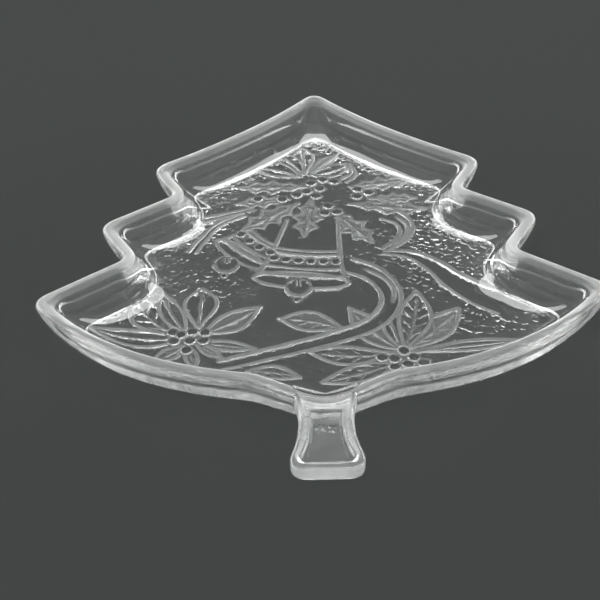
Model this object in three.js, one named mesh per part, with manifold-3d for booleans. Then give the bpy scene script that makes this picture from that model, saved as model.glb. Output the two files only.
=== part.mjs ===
// Clear pressed-glass serving dish in the outline of a fir tree in three tiers, with the trunk as its handle.
// Millimetres, +Z up, standing on its foot at z = 0. X runs across the tree, +Y from the trunk to its top.
// Plan sizes are taken from the middle of the line that joins the two widest tips of the tree.

import * as THREE from 'three';
import { mergeVertices } from 'three/addons/utils/BufferGeometryUtils.js';
import Module from 'manifold-3d';

const wasm = await Module();
wasm.setup();

// Corners of the rim before rounding: the right half, from the top of the tree down
const APEX_Y = 147;
const TOP_EDGE_BEND_X = 27;
const TOP_EDGE_BEND_Y = 115.6;
const TIP_1_X = 69.6;
const TIP_1_Y = 87.7;
const NOTCH_1_X = 58.2;
const NOTCH_1_Y = 68.1;
const TIP_2_X = 87.3;
const TIP_2_Y = 48;
const NOTCH_2_X = 73.8;
const NOTCH_2_Y = 27.1;
const TIP_3_X = 106.6;
const TIP_3_Y = 3;
const FRONT_BEND_X = 73;
const FRONT_BEND_Y = -33.2;
const KINK_X = 25;
const KINK_Y = -41.4;
const FRONT_POINT_Y = -54.5;

// How far the rounding of a corner reaches along its two edges, at the rim and at the floor
const APEX_ROUNDING_RIM = 7;
const APEX_ROUNDING_FLOOR = 12;
const TIP_ROUNDING_RIM = 6.5;
const TIP_ROUNDING_FLOOR = 9;
const NOTCH_ROUNDING_RIM = 4;
const NOTCH_ROUNDING_FLOOR = 11;
const KINK_ROUNDING_RIM = 4;
const KINK_ROUNDING_FLOOR = 8;
const FRONT_POINT_ROUNDING = 8;
const CORNER_EDGE_SHARE = 0.48;
const BEND_EDGE_SHARE = 0.98;
const CORNER_STEPS = 4;
const BEND_STEPS = 7;

// Wall profile: heights, and insets measured from the outer edge of the rim
const RIM_HEIGHT = 17.5;
const RIM_WIDTH = 4.7;
const LIP_RADIUS = 2.1;
const FLOOR_TOP = 4.5;
const FLOOR_EDGE_INSET = 14.5;
const INNER_WALL_BELLY_INSET = 7;
const OUTER_WALL_BELLY_INSET = 1.6;
const OUTER_WALL_BELLY_HEIGHT = 4.6;
const BASE_INSET = 6.8;
const BASE_CORNER_HEIGHT = 1.0;
const FOOT_HEIGHT = 1.5;
const FOOT_WIDTH = 2.2;
const FOOT_CORNER = 0.8;
const FOOT_DRAFT = 0.5;
const WALL_STEPS = 4;
const LIP_STEPS = 3;

// Trunk handle: a tab level with the rim, necked in the middle, with a recess between its rails
const TRUNK_END_Y = -80;
const TRUNK_NECK_Y = -59.5;
const TRUNK_ROOT_Y = -46;
const TRUNK_ROOT_HALF = 11.2;
const TRUNK_NECK_HALF = 9;
const TRUNK_END_HALF = 12.3;
const TRUNK_CORNER = 4.8;
const TRUNK_THICKNESS = 7;
const TRUNK_DROP = 0.4;
const TRUNK_EDGE = 1.8;
const TRUNK_SEAM_FROM_POINT = 0.8;
const RAIL_WIDTH = 3.7;
const WEB_WIDTH = 1.8;
const RECESS_DEPTH = 3.4;
const RECESS_CORNER = 2.6;
const RECESS_EDGE = 0.9;
const TRUNK_STEPS = 7;

// Relief on the underside of the floor: depths are how far a figure stands down from it
const RELIEF_GAP = 0.35;
const RELIEF_BORDER = 0.4;
const LEAF_DEPTH = 1.0;
const PETAL_DEPTH = 1.0;
const PETAL_HALF_WIDTH = 4.2;
const PETAL_STEPS = 6;
const BLADE_END_POWER = 0.5;
const BERRY_RADIUS = 2.4;
const BERRY_DEPTH = 1.25;
const BERRY_SIDES = 8;
const FLOWER_HEART_RADIUS = 4.6;
const FLOWER_HEART_DEPTH = 0.7;
const FLOWER_BERRY_CIRCLE = 4.4;
const FLOWER_BERRIES = 7;
const RIBBON_DEPTH = 0.8;
const RIBBON_STEP = 4;
const BELL_DEPTH = 0.9;
const BELL_CROWN_DEPTH = 0.54;
const BELL_CROWN_SHARE = 0.26;
const BELL_SHOULDER_SHARE = 0.34;
const BELL_SHOULDER_POWER = 0.4;
const BELL_FLARE_SHARE = 0.4;
const BELL_FLARE_POWER = 5;
const BELL_MOUTH_OPENING = 5;
const BELL_MOUTH_RING = 1.6;
const BELL_MOUTH_DEPTH = 1.1;
const BELL_BAND_HALF_WIDTH = 0.7;
const BELL_BAND_RISE = 0.3;
const BELL_BAND_BOW = 3;
const BELL_BEAD_RADIUS = 1.7;
const BELL_BEADS = 6;
const BELL_STEPS = 7;
const CLAPPER_RADIUS = 4.6;
const CLAPPER_DEPTH = 1.25;

const GLASS_COLOUR = 0xdfe7e4;
const GLASS_ROUGHNESS = 0.05;
const GLASS_OPACITY = 0.4;

const point = (x, y) => new THREE.Vector2(x, y);
const wrap = (index, count) => (index + count) % count;

// Solids: closed meshes joined and cut by manifold

function solid(geometry) {
  const bare = geometry.clone();
  bare.deleteAttribute('normal');
  bare.deleteAttribute('uv');
  const merged = mergeVertices(bare, 1e-5);
  const index = merged.index.array;
  const triangles = [];
  for (let i = 0; i < index.length; i += 3) {
    const [a, b, c] = index.slice(i, i + 3);
    if (a !== b && b !== c && c !== a) triangles.push(a, b, c);
  }
  return new wasm.Manifold(new wasm.Mesh({
    numProp: 3,
    vertProperties: new Float32Array(merged.attributes.position.array),
    triVerts: new Uint32Array(triangles),
  }));
}

function geometryOf(body) {
  const mesh = body.getMesh();
  const geometry = new THREE.BufferGeometry();
  geometry.setAttribute('position', new THREE.BufferAttribute(mesh.vertProperties, 3));
  geometry.setIndex(new THREE.BufferAttribute(mesh.triVerts, 1));
  geometry.computeVertexNormals();
  return geometry;
}

function box(x0, x1, y0, y1, z0, z1) {
  const geometry = new THREE.BoxGeometry(x1 - x0, y1 - y0, z1 - z0);
  geometry.translate((x0 + x1) / 2, (y0 + y1) / 2, (z0 + z1) / 2);
  return solid(geometry);
}

const joined = (bodies) => bodies.reduce((all, body) => all.add(body));

const largest = (body) => body.decompose().sort((a, b) => b.volume() - a.volume())[0];

// Plan of the tree: corners all the way round, counter-clockwise seen from above

const rounded = (x, y, rim, floor) => ({ x, y, rim, floor });
const bend = (x, y) => ({ x, y, bend: true });
const tip = (x, y) => rounded(x, y, TIP_ROUNDING_RIM, TIP_ROUNDING_FLOOR);
const notch = (x, y) => rounded(x, y, NOTCH_ROUNDING_RIM, NOTCH_ROUNDING_FLOOR);
const apex = rounded(0, APEX_Y, APEX_ROUNDING_RIM, APEX_ROUNDING_FLOOR);
const frontPoint = rounded(0, FRONT_POINT_Y, FRONT_POINT_ROUNDING, FRONT_POINT_ROUNDING);

const RIGHT_SIDE = [
  bend(TOP_EDGE_BEND_X, TOP_EDGE_BEND_Y),
  tip(TIP_1_X, TIP_1_Y),
  notch(NOTCH_1_X, NOTCH_1_Y),
  tip(TIP_2_X, TIP_2_Y),
  notch(NOTCH_2_X, NOTCH_2_Y),
  tip(TIP_3_X, TIP_3_Y),
  bend(FRONT_BEND_X, FRONT_BEND_Y),
  rounded(KINK_X, KINK_Y, KINK_ROUNDING_RIM, KINK_ROUNDING_FLOOR),
];
const LEFT_SIDE = RIGHT_SIDE.map((corner) => ({ ...corner, x: -corner.x }));
const PLAN = [apex, ...LEFT_SIDE, frontPoint, ...RIGHT_SIDE.toReversed()];

function insetCorners(inset) {
  const inward = PLAN.map((corner, i) => {
    const next = PLAN[wrap(i + 1, PLAN.length)];
    return point(corner.y - next.y, next.x - corner.x).normalize();
  });
  return PLAN.map((corner, i) => {
    const before = inward[wrap(i - 1, PLAN.length)];
    const after = inward[i];
    const mitre = before.clone().add(after).multiplyScalar(inset / (1 + before.dot(after)));
    return point(corner.x, corner.y).add(mitre);
  });
}

// The tree outline at one inset and height. Corners are rounded; a bend takes all the edge that is left.
function outline(inset, z) {
  const depth = THREE.MathUtils.clamp((RIM_HEIGHT - z) / (RIM_HEIGHT - FLOOR_TOP), 0, 1);
  const corners = insetCorners(inset);
  const held = (i, length) => (PLAN[i].bend
    ? 0 : Math.min(THREE.MathUtils.lerp(PLAN[i].rim, PLAN[i].floor, depth), length * CORNER_EDGE_SHARE));
  const reach = (i, other) => {
    const length = corners[i].distanceTo(corners[other]);
    return PLAN[i].bend ? (length - held(other, length)) * BEND_EDGE_SHARE : held(i, length);
  };
  return corners.flatMap((corner, i) => {
    const ends = [wrap(i - 1, PLAN.length), wrap(i + 1, PLAN.length)].map((other) => {
      const along = corners[other].clone().sub(corner).normalize();
      return corner.clone().addScaledVector(along, reach(i, other));
    });
    const curve = new THREE.QuadraticBezierCurve(ends[0], corner, ends[1]);
    return curve.getPoints(PLAN[i].bend ? BEND_STEPS : CORNER_STEPS);
  });
}

// Closed skin over outlines stacked from the lower end to the upper one, each given as [inset, z]
function loft(levels) {
  const rings = levels.map(([inset, z]) => outline(inset, z).map((p) => new THREE.Vector3(p.x, p.y, z)));
  const count = rings[0].length;
  const index = [];
  for (let level = 0; level + 1 < rings.length; level += 1) {
    for (let i = 0; i < count; i += 1) {
      const a = level * count + i;
      const b = level * count + wrap(i + 1, count);
      index.push(a, b, b + count, a, b + count, a + count);
    }
  }
  const top = (rings.length - 1) * count;
  for (const [a, b, c] of THREE.ShapeUtils.triangulateShape(rings[0].map((p) => point(p.x, p.y)), [])) {
    index.push(a, c, b);
  }
  for (const [a, b, c] of THREE.ShapeUtils.triangulateShape(rings.at(-1).map((p) => point(p.x, p.y)), [])) {
    index.push(top + a, top + b, top + c);
  }
  const geometry = new THREE.BufferGeometry().setFromPoints(rings.flat());
  geometry.setIndex(index);
  return solid(geometry);
}

// Bowl: an outer body from the foot to the lip, hollowed by the well

const profile = (curve, steps) => curve.getPoints(steps).map((p) => [p.x, p.y]);

function outerLevels() {
  const lipFoot = RIM_HEIGHT - LIP_RADIUS;
  const footInner = BASE_INSET + FOOT_CORNER + FOOT_WIDTH;
  const wall = new THREE.QuadraticBezierCurve(
    point(BASE_INSET, BASE_CORNER_HEIGHT),
    point(OUTER_WALL_BELLY_INSET, OUTER_WALL_BELLY_HEIGHT),
    point(0, lipFoot),
  );
  const lip = new THREE.EllipseCurve(LIP_RADIUS, lipFoot, LIP_RADIUS, LIP_RADIUS, Math.PI, Math.PI / 2, true);
  return [
    [footInner + FOOT_DRAFT, FOOT_HEIGHT],
    [footInner, 0],
    [BASE_INSET + FOOT_CORNER, 0],
    ...profile(wall, WALL_STEPS),
    ...profile(lip, LIP_STEPS).slice(1),
  ];
}

function wellLevels() {
  const lipFoot = RIM_HEIGHT - LIP_RADIUS;
  const lipCentre = RIM_WIDTH - LIP_RADIUS;
  const wall = new THREE.QuadraticBezierCurve(
    point(FLOOR_EDGE_INSET, FLOOR_TOP),
    point(INNER_WALL_BELLY_INSET, FLOOR_TOP),
    point(RIM_WIDTH, lipFoot),
  );
  const lip = new THREE.EllipseCurve(lipCentre, lipFoot, LIP_RADIUS, LIP_RADIUS, 0, Math.PI / 2, false);
  return [
    ...profile(wall, WALL_STEPS + 1),
    ...profile(lip, LIP_STEPS).slice(1),
    [lipCentre, RIM_HEIGHT + LIP_RADIUS],
  ];
}

// Half the width of the trunk tab: it draws in from the root to the neck and flares out to the end
function trunkHalf(y) {
  const [farY, farHalf] = y > TRUNK_NECK_Y ? [TRUNK_ROOT_Y, TRUNK_ROOT_HALF] : [TRUNK_END_Y, TRUNK_END_HALF];
  const share = (y - TRUNK_NECK_Y) / (farY - TRUNK_NECK_Y);
  return TRUNK_NECK_HALF + (farHalf - TRUNK_NECK_HALF) * share ** 2;
}

// The tab seen from above, from y = start to its end, drawn in by inset all round
function trunkShape(inset, start, corner) {
  const endY = TRUNK_END_Y + inset;
  const end = trunkHalf(endY) - inset;
  const side = Array.from({ length: TRUNK_STEPS + 1 }, (_, i) => {
    const y = THREE.MathUtils.lerp(start, endY + corner, i / TRUNK_STEPS);
    return point(trunkHalf(y) - inset, y);
  });
  const shape = new THREE.Shape(side.map((p) => point(-p.x, p.y)));
  shape.quadraticCurveTo(-end, endY, corner - end, endY);
  shape.lineTo(end - corner, endY);
  shape.quadraticCurveTo(end, endY, side.at(-1).x, endY + corner);
  for (const p of side.toReversed().slice(1)) shape.lineTo(p.x, p.y);
  return shape;
}

function softEdgedSlab(shape, bottom, top, edge) {
  const geometry = new THREE.ExtrudeGeometry(shape, {
    depth: top - bottom - 2 * edge,
    bevelThickness: edge,
    bevelSize: edge,
    bevelOffset: -edge,
    bevelSegments: 3,
    curveSegments: 6,
  });
  geometry.translate(0, 0, bottom + edge);
  return solid(geometry);
}

function glassBody() {
  const tabTop = RIM_HEIGHT - TRUNK_DROP;
  const recessFloor = tabTop - RECESS_DEPTH;
  const tabPlan = trunkShape(0, TRUNK_ROOT_Y, TRUNK_CORNER);
  const recessPlan = trunkShape(RAIL_WIDTH, SEAM_Y - WEB_WIDTH, RECESS_CORNER);
  const tab = softEdgedSlab(tabPlan, tabTop - TRUNK_THICKNESS, tabTop, TRUNK_EDGE);
  const recess = softEdgedSlab(recessPlan, recessFloor, tabTop + RECESS_DEPTH, RECESS_EDGE);
  return loft(outerLevels()).add(tab).subtract(recess).subtract(loft(wellLevels()));
}

// The seam lies across the tab, just clear of the rim's front point
const rimPlan = outline(0, RIM_HEIGHT);
const rimFront = Math.min(...rimPlan.map((p) => p.y));
const rimTop = Math.max(...rimPlan.map((p) => p.y));
const SEAM_Y = rimFront - TRUNK_SEAM_FROM_POINT;

function bowlAndTrunk() {
  const glass = glassBody();
  const reach = 2 * TIP_3_X;
  const beyondSeam = box(-reach, reach, -reach, SEAM_Y, -RIM_HEIGHT, 2 * RIM_HEIGHT);
  return { bowl: glass.subtract(beyondSeam), trunk: glass.intersect(beyondSeam) };
}

// Relief figures: each is modelled with its seat at z = 0 and stands down from it.
// A figure has a body, and a wider footprint that keeps the figures laid after it clear of it.

const ROOF = [[-1, 0], [0, 1], [1, 0]];
const CHANNEL = [[-1, 0], [-0.75, 1], [0, 0.55], [0.75, 1], [1, 0]];
const RIB = [[-1, 0], [-0.6, 1], [0.6, 1], [1, 0]];
const SLAB = [[-1, 0], [-1, 1], [1, 1], [1, 0]];
const DOME = Array.from({ length: 7 }, (_, i) => {
  const angle = Math.PI * (1 - i / 6);
  return [Math.cos(angle), Math.sin(angle)];
});

function stationsAlong(curve, steps, half, depth) {
  return Array.from({ length: steps + 1 }, (_, i) => {
    const share = i / steps;
    const along = curve.getTangentAt(share);
    return { at: curve.getPointAt(share), along, half: half(share), depth: depth(share) };
  });
}

// Loft of a cross-section, given as [across, down], from the first station to the last
function ridge(stations, section) {
  const width = section.length;
  const points = stations.flatMap(({ at, along, half, depth }) => section.map(([across, down]) => (
    new THREE.Vector3(at.x - along.y * across * half, at.y + along.x * across * half, -down * depth)
  )));
  const index = [];
  const quad = (a, b, c, d) => index.push(a, b, c, a, c, d);
  for (let row = 0; row + 1 < stations.length; row += 1) {
    const here = row * width;
    const next = here + width;
    for (let k = 0; k + 1 < width; k += 1) quad(here + k, here + k + 1, next + k + 1, next + k);
    quad(here, next, next + width - 1, here + width - 1);
  }
  const last = (stations.length - 1) * width;
  for (let k = 1; k + 1 < width; k += 1) {
    index.push(0, k + 1, k);
    index.push(last, last + k, last + k + 1);
  }
  const geometry = new THREE.BufferGeometry().setFromPoints(points);
  geometry.setIndex(index);
  return solid(geometry);
}

function widened(stations) {
  const ends = [stations[0], stations.at(-1)];
  return stations.map((station) => {
    const step = RELIEF_GAP * (station === ends[0] ? -1 : Number(station === ends[1]));
    const at = station.at.clone().addScaledVector(station.along, step);
    return { ...station, at, half: station.half + RELIEF_GAP, depth: 2 * FOOT_HEIGHT };
  });
}

const strip = (stations, section) => ({
  body: ridge(stations, section),
  footprint: ridge(widened(stations), SLAB),
});

const together = (figures) => ({
  body: joined(figures.map((figure) => figure.body)),
  footprint: joined(figures.map((figure) => figure.footprint)),
});

const aboveSeat = box(-2 * TIP_3_X, 2 * TIP_3_X, -2 * APEX_Y, 2 * APEX_Y, 0, RIM_HEIGHT);

function dome(x, y, radius, depth) {
  const ball = new THREE.SphereGeometry(radius, BERRY_SIDES, 4);
  ball.rotateX(Math.PI / 2);
  ball.scale(1, 1, depth / radius);
  ball.translate(x, y, 0);
  const clear = radius + RELIEF_GAP;
  const post = new THREE.CylinderGeometry(clear, clear, 4 * FOOT_HEIGHT, BERRY_SIDES);
  post.rotateX(Math.PI / 2);
  post.translate(x, y, 0);
  return { body: solid(ball).subtract(aboveSeat), footprint: solid(post) };
}

function petal(from, to, halfWidth) {
  const stations = stationsAlong(
    new THREE.LineCurve(from, to),
    PETAL_STEPS,
    (share) => halfWidth * Math.sin(Math.PI * share),
    (share) => PETAL_DEPTH * Math.sin(Math.PI * share) ** BLADE_END_POWER,
  );
  return strip(stations, ROOF);
}

// Holly: the blade is drawn in between its spines, four to a side counting the tip
const HOLLY_SPINES = [0, 0.4, 0.85, 0.5, 1, 0.5, 0.8, 0.3, 0];
function hollyLeaf(from, to, halfWidth) {
  const steps = HOLLY_SPINES.length - 1;
  const stations = stationsAlong(
    new THREE.LineCurve(from, to),
    steps,
    (share) => halfWidth * HOLLY_SPINES[Math.round(share * steps)],
    (share) => LEAF_DEPTH * Math.sin(Math.PI * share) ** BLADE_END_POWER,
  );
  return strip(stations, ROOF);
}

const berries = (places) => together(places.map(([x, y]) => dome(x, y, BERRY_RADIUS, BERRY_DEPTH)));

// Poinsettia: petals, each given as [angle, length], round a heart that carries a ring of berries
function poinsettia(x, y, petals) {
  const heart = point(x, y);
  const towards = (angle, reach) => heart.clone().add(point(reach, 0).rotateAround(point(0, 0), angle));
  const blades = petals.map(([degrees, length]) => (
    petal(heart, towards(THREE.MathUtils.degToRad(degrees), length), PETAL_HALF_WIDTH)
  ));
  const ring = Array.from({ length: FLOWER_BERRIES }, (_, i) => {
    const at = towards((2 * Math.PI * i) / FLOWER_BERRIES, FLOWER_BERRY_CIRCLE);
    return [at.x, at.y];
  });
  return together([
    ...blades,
    dome(x, y, FLOWER_HEART_RADIUS, FLOWER_HEART_DEPTH),
    berries([[x, y], ...ring]),
  ]);
}

function ribbon(places, halfWidth, endHalfWidth) {
  const curve = new THREE.SplineCurve(places.map(([x, y]) => point(x, y)));
  const steps = Math.ceil(curve.getLength() / RIBBON_STEP);
  const half = (share) => THREE.MathUtils.lerp(halfWidth, endHalfWidth, share);
  return strip(stationsAlong(curve, steps, half, () => RIBBON_DEPTH), CHANNEL);
}

// Bell in half relief from its crown to its open oval mouth, with two bands and a row of beads between them
function bellShare(share) {
  const shoulder = BELL_SHOULDER_SHARE * share ** BELL_SHOULDER_POWER;
  const flare = BELL_FLARE_SHARE * share ** BELL_FLARE_POWER;
  return BELL_CROWN_SHARE + shoulder + flare;
}
const BELL_BANDS_AT = [0.5, 0.74];
const BELL_BEADS_AT = 0.62;

function bell(crown, mouth, halfWidth) {
  const axis = new THREE.LineCurve(crown, mouth);
  const along = axis.getTangent(0);
  const across = point(-along.y, along.x);
  const side = (share, sign) => (
    axis.getPointAt(share).addScaledVector(across, sign * halfWidth * bellShare(share))
  );
  const bowed = (share) => new THREE.QuadraticBezierCurve(
    side(share, -1),
    axis.getPointAt(share).addScaledVector(along, 2 * BELL_BAND_BOW),
    side(share, 1),
  );
  const swell = (share) => BELL_DEPTH * Math.sin(Math.PI * share) + BELL_BAND_RISE;
  const coat = stationsAlong(
    axis,
    BELL_STEPS,
    (share) => halfWidth * bellShare(share),
    (share) => THREE.MathUtils.lerp(BELL_CROWN_DEPTH, BELL_DEPTH, share),
  );
  const bands = BELL_BANDS_AT.map((share) => (
    strip(stationsAlong(bowed(share), BELL_BEADS, () => BELL_BAND_HALF_WIDTH, swell), RIB)
  ));
  const beadRow = bowed(BELL_BEADS_AT);
  const beads = Array.from({ length: BELL_BEADS }, (_, i) => {
    const share = (i + 0.5) / BELL_BEADS;
    const at = beadRow.getPointAt(share);
    return dome(at.x, at.y, BELL_BEAD_RADIUS, swell(share));
  });
  const drop = mouth.clone().addScaledVector(along, BELL_MOUTH_OPENING);
  const clapper = dome(drop.x, drop.y, CLAPPER_RADIUS, CLAPPER_DEPTH);
  const turn = across.angle();
  const oval = (grow, depth) => mouthOval(mouth, turn, halfWidth + grow, BELL_MOUTH_OPENING + grow, depth);
  const ring = oval(0, BELL_MOUTH_DEPTH);
  const hole = oval(-BELL_MOUTH_RING, 2 * FOOT_HEIGHT);
  const dressed = together([strip(coat, DOME), ...bands, ...beads]);
  return {
    body: dressed.body.add(ring).subtract(hole).add(clapper.body),
    footprint: joined([dressed.footprint, clapper.footprint, oval(RELIEF_GAP, 2 * FOOT_HEIGHT)]),
  };
}

// Oval plate across the mouth of a bell
function mouthOval(mouth, turn, halfWidth, halfHeight, depth) {
  const shape = new THREE.Shape();
  shape.absellipse(0, 0, halfWidth, halfHeight, 0, 2 * Math.PI, false, 0);
  const geometry = new THREE.ExtrudeGeometry(shape, { depth, bevelEnabled: false, curveSegments: 10 });
  geometry.translate(0, 0, -depth);
  geometry.rotateZ(turn);
  geometry.translate(mouth.x, mouth.y, 0);
  return solid(geometry);
}

// The figures in the order in which they lie over one another, from the top one down
const FIGURES = {
  holly_berries_middle: berries([
    [-8.8, 85.4], [-5, 86.6], [-1.2, 85.2], [-0.3, 89.2], [3, 91.6], [-1.2, 93.1], [6.9, 92.9],
  ]),
  holly_berries_right: berries([[15.5, 85.5], [19, 87], [22.3, 85], [18, 82.6]]),
  holly_berries_low: berries([[3.4, 76], [7.3, 75], [4.6, 72.4]]),
  holly_leaf_left_upper: hollyLeaf(point(-8, 91), point(-33, 91), 4.5),
  holly_leaf_left_middle: hollyLeaf(point(-11, 83), point(-34, 80), 4.5),
  holly_leaf_left_lower: hollyLeaf(point(-9, 78), point(-31, 61.5), 5.5),
  holly_leaf_centre: hollyLeaf(point(-3, 81), point(-6, 56), 5.5),
  holly_leaf_right_lower: hollyLeaf(point(9, 71), point(21, 50.5), 5.5),
  holly_leaf_right_middle: hollyLeaf(point(12, 77), point(45, 71.5), 4.5),
  holly_leaf_right_upper: hollyLeaf(point(23, 81.5), point(45, 80), 4),
  holly_leaf_top_right: hollyLeaf(point(12, 89.5), point(40, 93), 4.5),
  poinsettia_top: poinsettia(-4, 102, [[152, 22], [118, 19], [84, 18], [52, 20], [14, 20]]),
  bell_front: bell(point(-2.4, 65.7), point(-7.5, 28), 18.5),
  bell_back: bell(point(-12, 65), point(-32, 45.5), 13),
  ribbon_tail_left_upper: ribbon([[-28, 75.5], [-40, 71.5], [-53, 67]], 1.8, 2.4),
  ribbon_tail_left_lower: ribbon([[-33, 68], [-42, 63], [-50, 49]], 1.8, 2.4),
  ribbon_loop_right: ribbon([[28, 69], [35, 63], [35, 53], [26, 44]], 3.6, 1.4),
  ribbon_tail_right: ribbon([[31, 46], [41, 39], [49, 28], [57, 18], [66, 10]], 1.4, 5),
  ribbon_sweep: ribbon([[12, 38], [21, 31], [26, 21], [21, 6], [6, -5], [-18, -12], [-46, -17]], 4, 1.6),
  poinsettia_right: poinsettia(27, -14, [
    [124, 29], [100, 26], [74, 34], [44, 33], [7, 42], [200, 27], [176, 26], [-40, 14],
  ]),
  poinsettia_left: poinsettia(-49, -3, [
    [131, 31], [112, 25], [94, 24], [68, 24], [31, 28], [-16, 25], [-78, 16], [-128, 16], [172, 30],
  ]),
  leaf_middle: petal(point(6, 0), point(-15, 6), 4),
};

// Every figure stays inside the foot and stops short of those that lie over it
function laidRelief() {
  const border = BASE_INSET + FOOT_CORNER + FOOT_WIDTH + FOOT_DRAFT + RELIEF_BORDER;
  const field = loft([[border, -2 * FOOT_HEIGHT], [border, 0]]);
  const laid = {};
  let taken = null;
  for (const [name, figure] of Object.entries(FIGURES)) {
    const inField = figure.body.intersect(field);
    laid[name] = largest(taken ? inField.subtract(taken) : inField);
    taken = taken ? taken.add(figure.footprint) : figure.footprint;
  }
  return laid;
}

// Scene graph: the origin is under the middle of the dish's overall length

function glassMesh(name, body) {
  const material = new THREE.MeshStandardMaterial({
    color: GLASS_COLOUR,
    roughness: GLASS_ROUGHNESS,
    metalness: 0,
    transparent: true,
    opacity: GLASS_OPACITY,
  });
  const mesh = new THREE.Mesh(geometryOf(body), material);
  mesh.name = name;
  return mesh;
}

const { bowl, trunk } = bowlAndTrunk();
const relief = new THREE.Group();
relief.position.z = FOOT_HEIGHT;
for (const [name, body] of Object.entries(laidRelief())) relief.add(glassMesh(name, body));

const dish = new THREE.Group();
dish.name = 'serving_dish';
dish.position.y = -(rimTop + TRUNK_END_Y) / 2;
dish.add(glassMesh('dish_bowl', bowl), glassMesh('trunk_handle', trunk), relief);

export default dish;
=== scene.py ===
"""Clear pressed-glass serving dish in the outline of a fir tree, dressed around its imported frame."""

import logging
import math
from dataclasses import dataclass, field
from enum import Enum
from typing import Any, Optional, Union

import bmesh
import bpy
import numpy as np
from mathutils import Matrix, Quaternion, Vector
from mathutils.geometry import delaunay_2d_cdt


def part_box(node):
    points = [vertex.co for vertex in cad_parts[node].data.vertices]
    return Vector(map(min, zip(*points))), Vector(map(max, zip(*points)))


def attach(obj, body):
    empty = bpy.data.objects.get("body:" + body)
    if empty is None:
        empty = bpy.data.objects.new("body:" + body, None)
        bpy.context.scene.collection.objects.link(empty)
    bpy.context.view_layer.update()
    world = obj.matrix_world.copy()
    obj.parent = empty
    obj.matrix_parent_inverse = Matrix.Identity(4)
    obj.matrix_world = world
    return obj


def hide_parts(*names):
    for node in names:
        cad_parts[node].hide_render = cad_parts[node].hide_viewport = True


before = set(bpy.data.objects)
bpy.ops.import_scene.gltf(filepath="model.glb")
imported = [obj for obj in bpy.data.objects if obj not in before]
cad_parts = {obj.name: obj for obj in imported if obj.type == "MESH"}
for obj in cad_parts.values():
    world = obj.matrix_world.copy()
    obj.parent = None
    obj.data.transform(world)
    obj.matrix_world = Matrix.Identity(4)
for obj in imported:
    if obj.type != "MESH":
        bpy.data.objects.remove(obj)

LOG = logging.getLogger("serving_dish")
MM = 0.001
Point = tuple[float, float]
Place = Union[Point, np.ndarray]
Setting = Union[float, bool, str, tuple, "Value", bpy.types.ID]

TINY = 1e-9
THIN = 1e-6
LINE_ROWS = (0.0, -0.5, 0.5, -0.85, 0.85, -1.02, 1.02)
BEAD_RINGS = ((0.4, 7), (0.72, 12), (0.92, 16), (1.0, 18), (1.12, 18))
CELL_ROW = 1_000_003
BLOCK = 2000


class Attribute(Enum):
    """Names of what the glass mesh carries for its trees and its material."""

    RELIEF = "relief"
    STIPPLE = "stipple"
    GRAIN = "grain"
    # Share of white matt shader mixed into the glass: partly a frosted finish, partly painted highlight and
    # glint.
    FROST_AND_GLINT = "frost"
    RADIUS = "radius"
    DEPTH = "depth"


# Node graphs


class Value:
    """A node's output with arithmetic: an expression on values adds its Math nodes."""

    def __init__(self, graph: "Graph", socket: bpy.types.NodeSocket) -> None:
        """Wraps one output socket of a graph."""
        self.graph = graph
        self.socket = socket

    def maths(self, operation: str, *others: Setting) -> "Value":
        """Adds a Math node with this value as its first operand.

        Args:
            operation: The Math node's operation.
            others: The other operands, values or numbers.

        Returns:
            The node's result.
        """
        operands = {0: self, **dict(enumerate(others, 1))}
        return self.graph.node("ShaderNodeMath", {"operation": operation}, operands)

    def __add__(self, other: Setting) -> "Value":
        """self + other."""
        return self.maths("ADD", other)

    __radd__ = __add__

    def __mul__(self, other: Setting) -> "Value":
        """self * other."""
        return self.maths("MULTIPLY", other)

    __rmul__ = __mul__

    def __sub__(self, other: Setting) -> "Value":
        """self - other."""
        return self.maths("SUBTRACT", other)

    def __rsub__(self, other: float) -> "Value":
        """other - self."""
        return (self * -1.0) + other

    def __truediv__(self, other: Setting) -> "Value":
        """self / other."""
        return self.maths("DIVIDE", other)


class Graph:
    """A node tree that is being built."""

    def __init__(self, tree: bpy.types.NodeTree) -> None:
        """Empties the tree and starts on it."""
        self.tree = tree
        tree.nodes.clear()

    def node(
        self,
        kind: str,
        settings: Optional[dict[str, Any]] = None,
        inputs: Optional[dict[Union[str, int], Setting]] = None,
        output: Union[str, int] = 0,
    ) -> Value:
        """Adds one node.

        Args:
            kind: The node's type.
            settings: Properties of the node, set before its sockets.
            inputs: Values or links of its sockets, by name or place.
            output: Which of its outputs to hand back.

        Returns:
            The chosen output, or a value without a socket for a node that has none.
        """
        made = self.tree.nodes.new(kind)
        for name, setting in (settings or {}).items():
            setattr(made, name, setting)
        for key, setting in (inputs or {}).items():
            socket = made.inputs[key]
            if isinstance(setting, Value):
                self.tree.links.new(setting.socket, socket)
            else:
                socket.default_value = setting
        return Value(self, made.outputs[output] if len(made.outputs) else None)


# Plan and profile of the dish, in millimetres, in the plan frame whose x axis joins the two widest tips


@dataclass(frozen=True)
class Corner:
    """A corner of the rim before rounding; one without rounding is a long bend."""

    x: float
    y: float
    rim: float = 0.0
    floor: float = 0.0
    widen: float = 0.0


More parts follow.
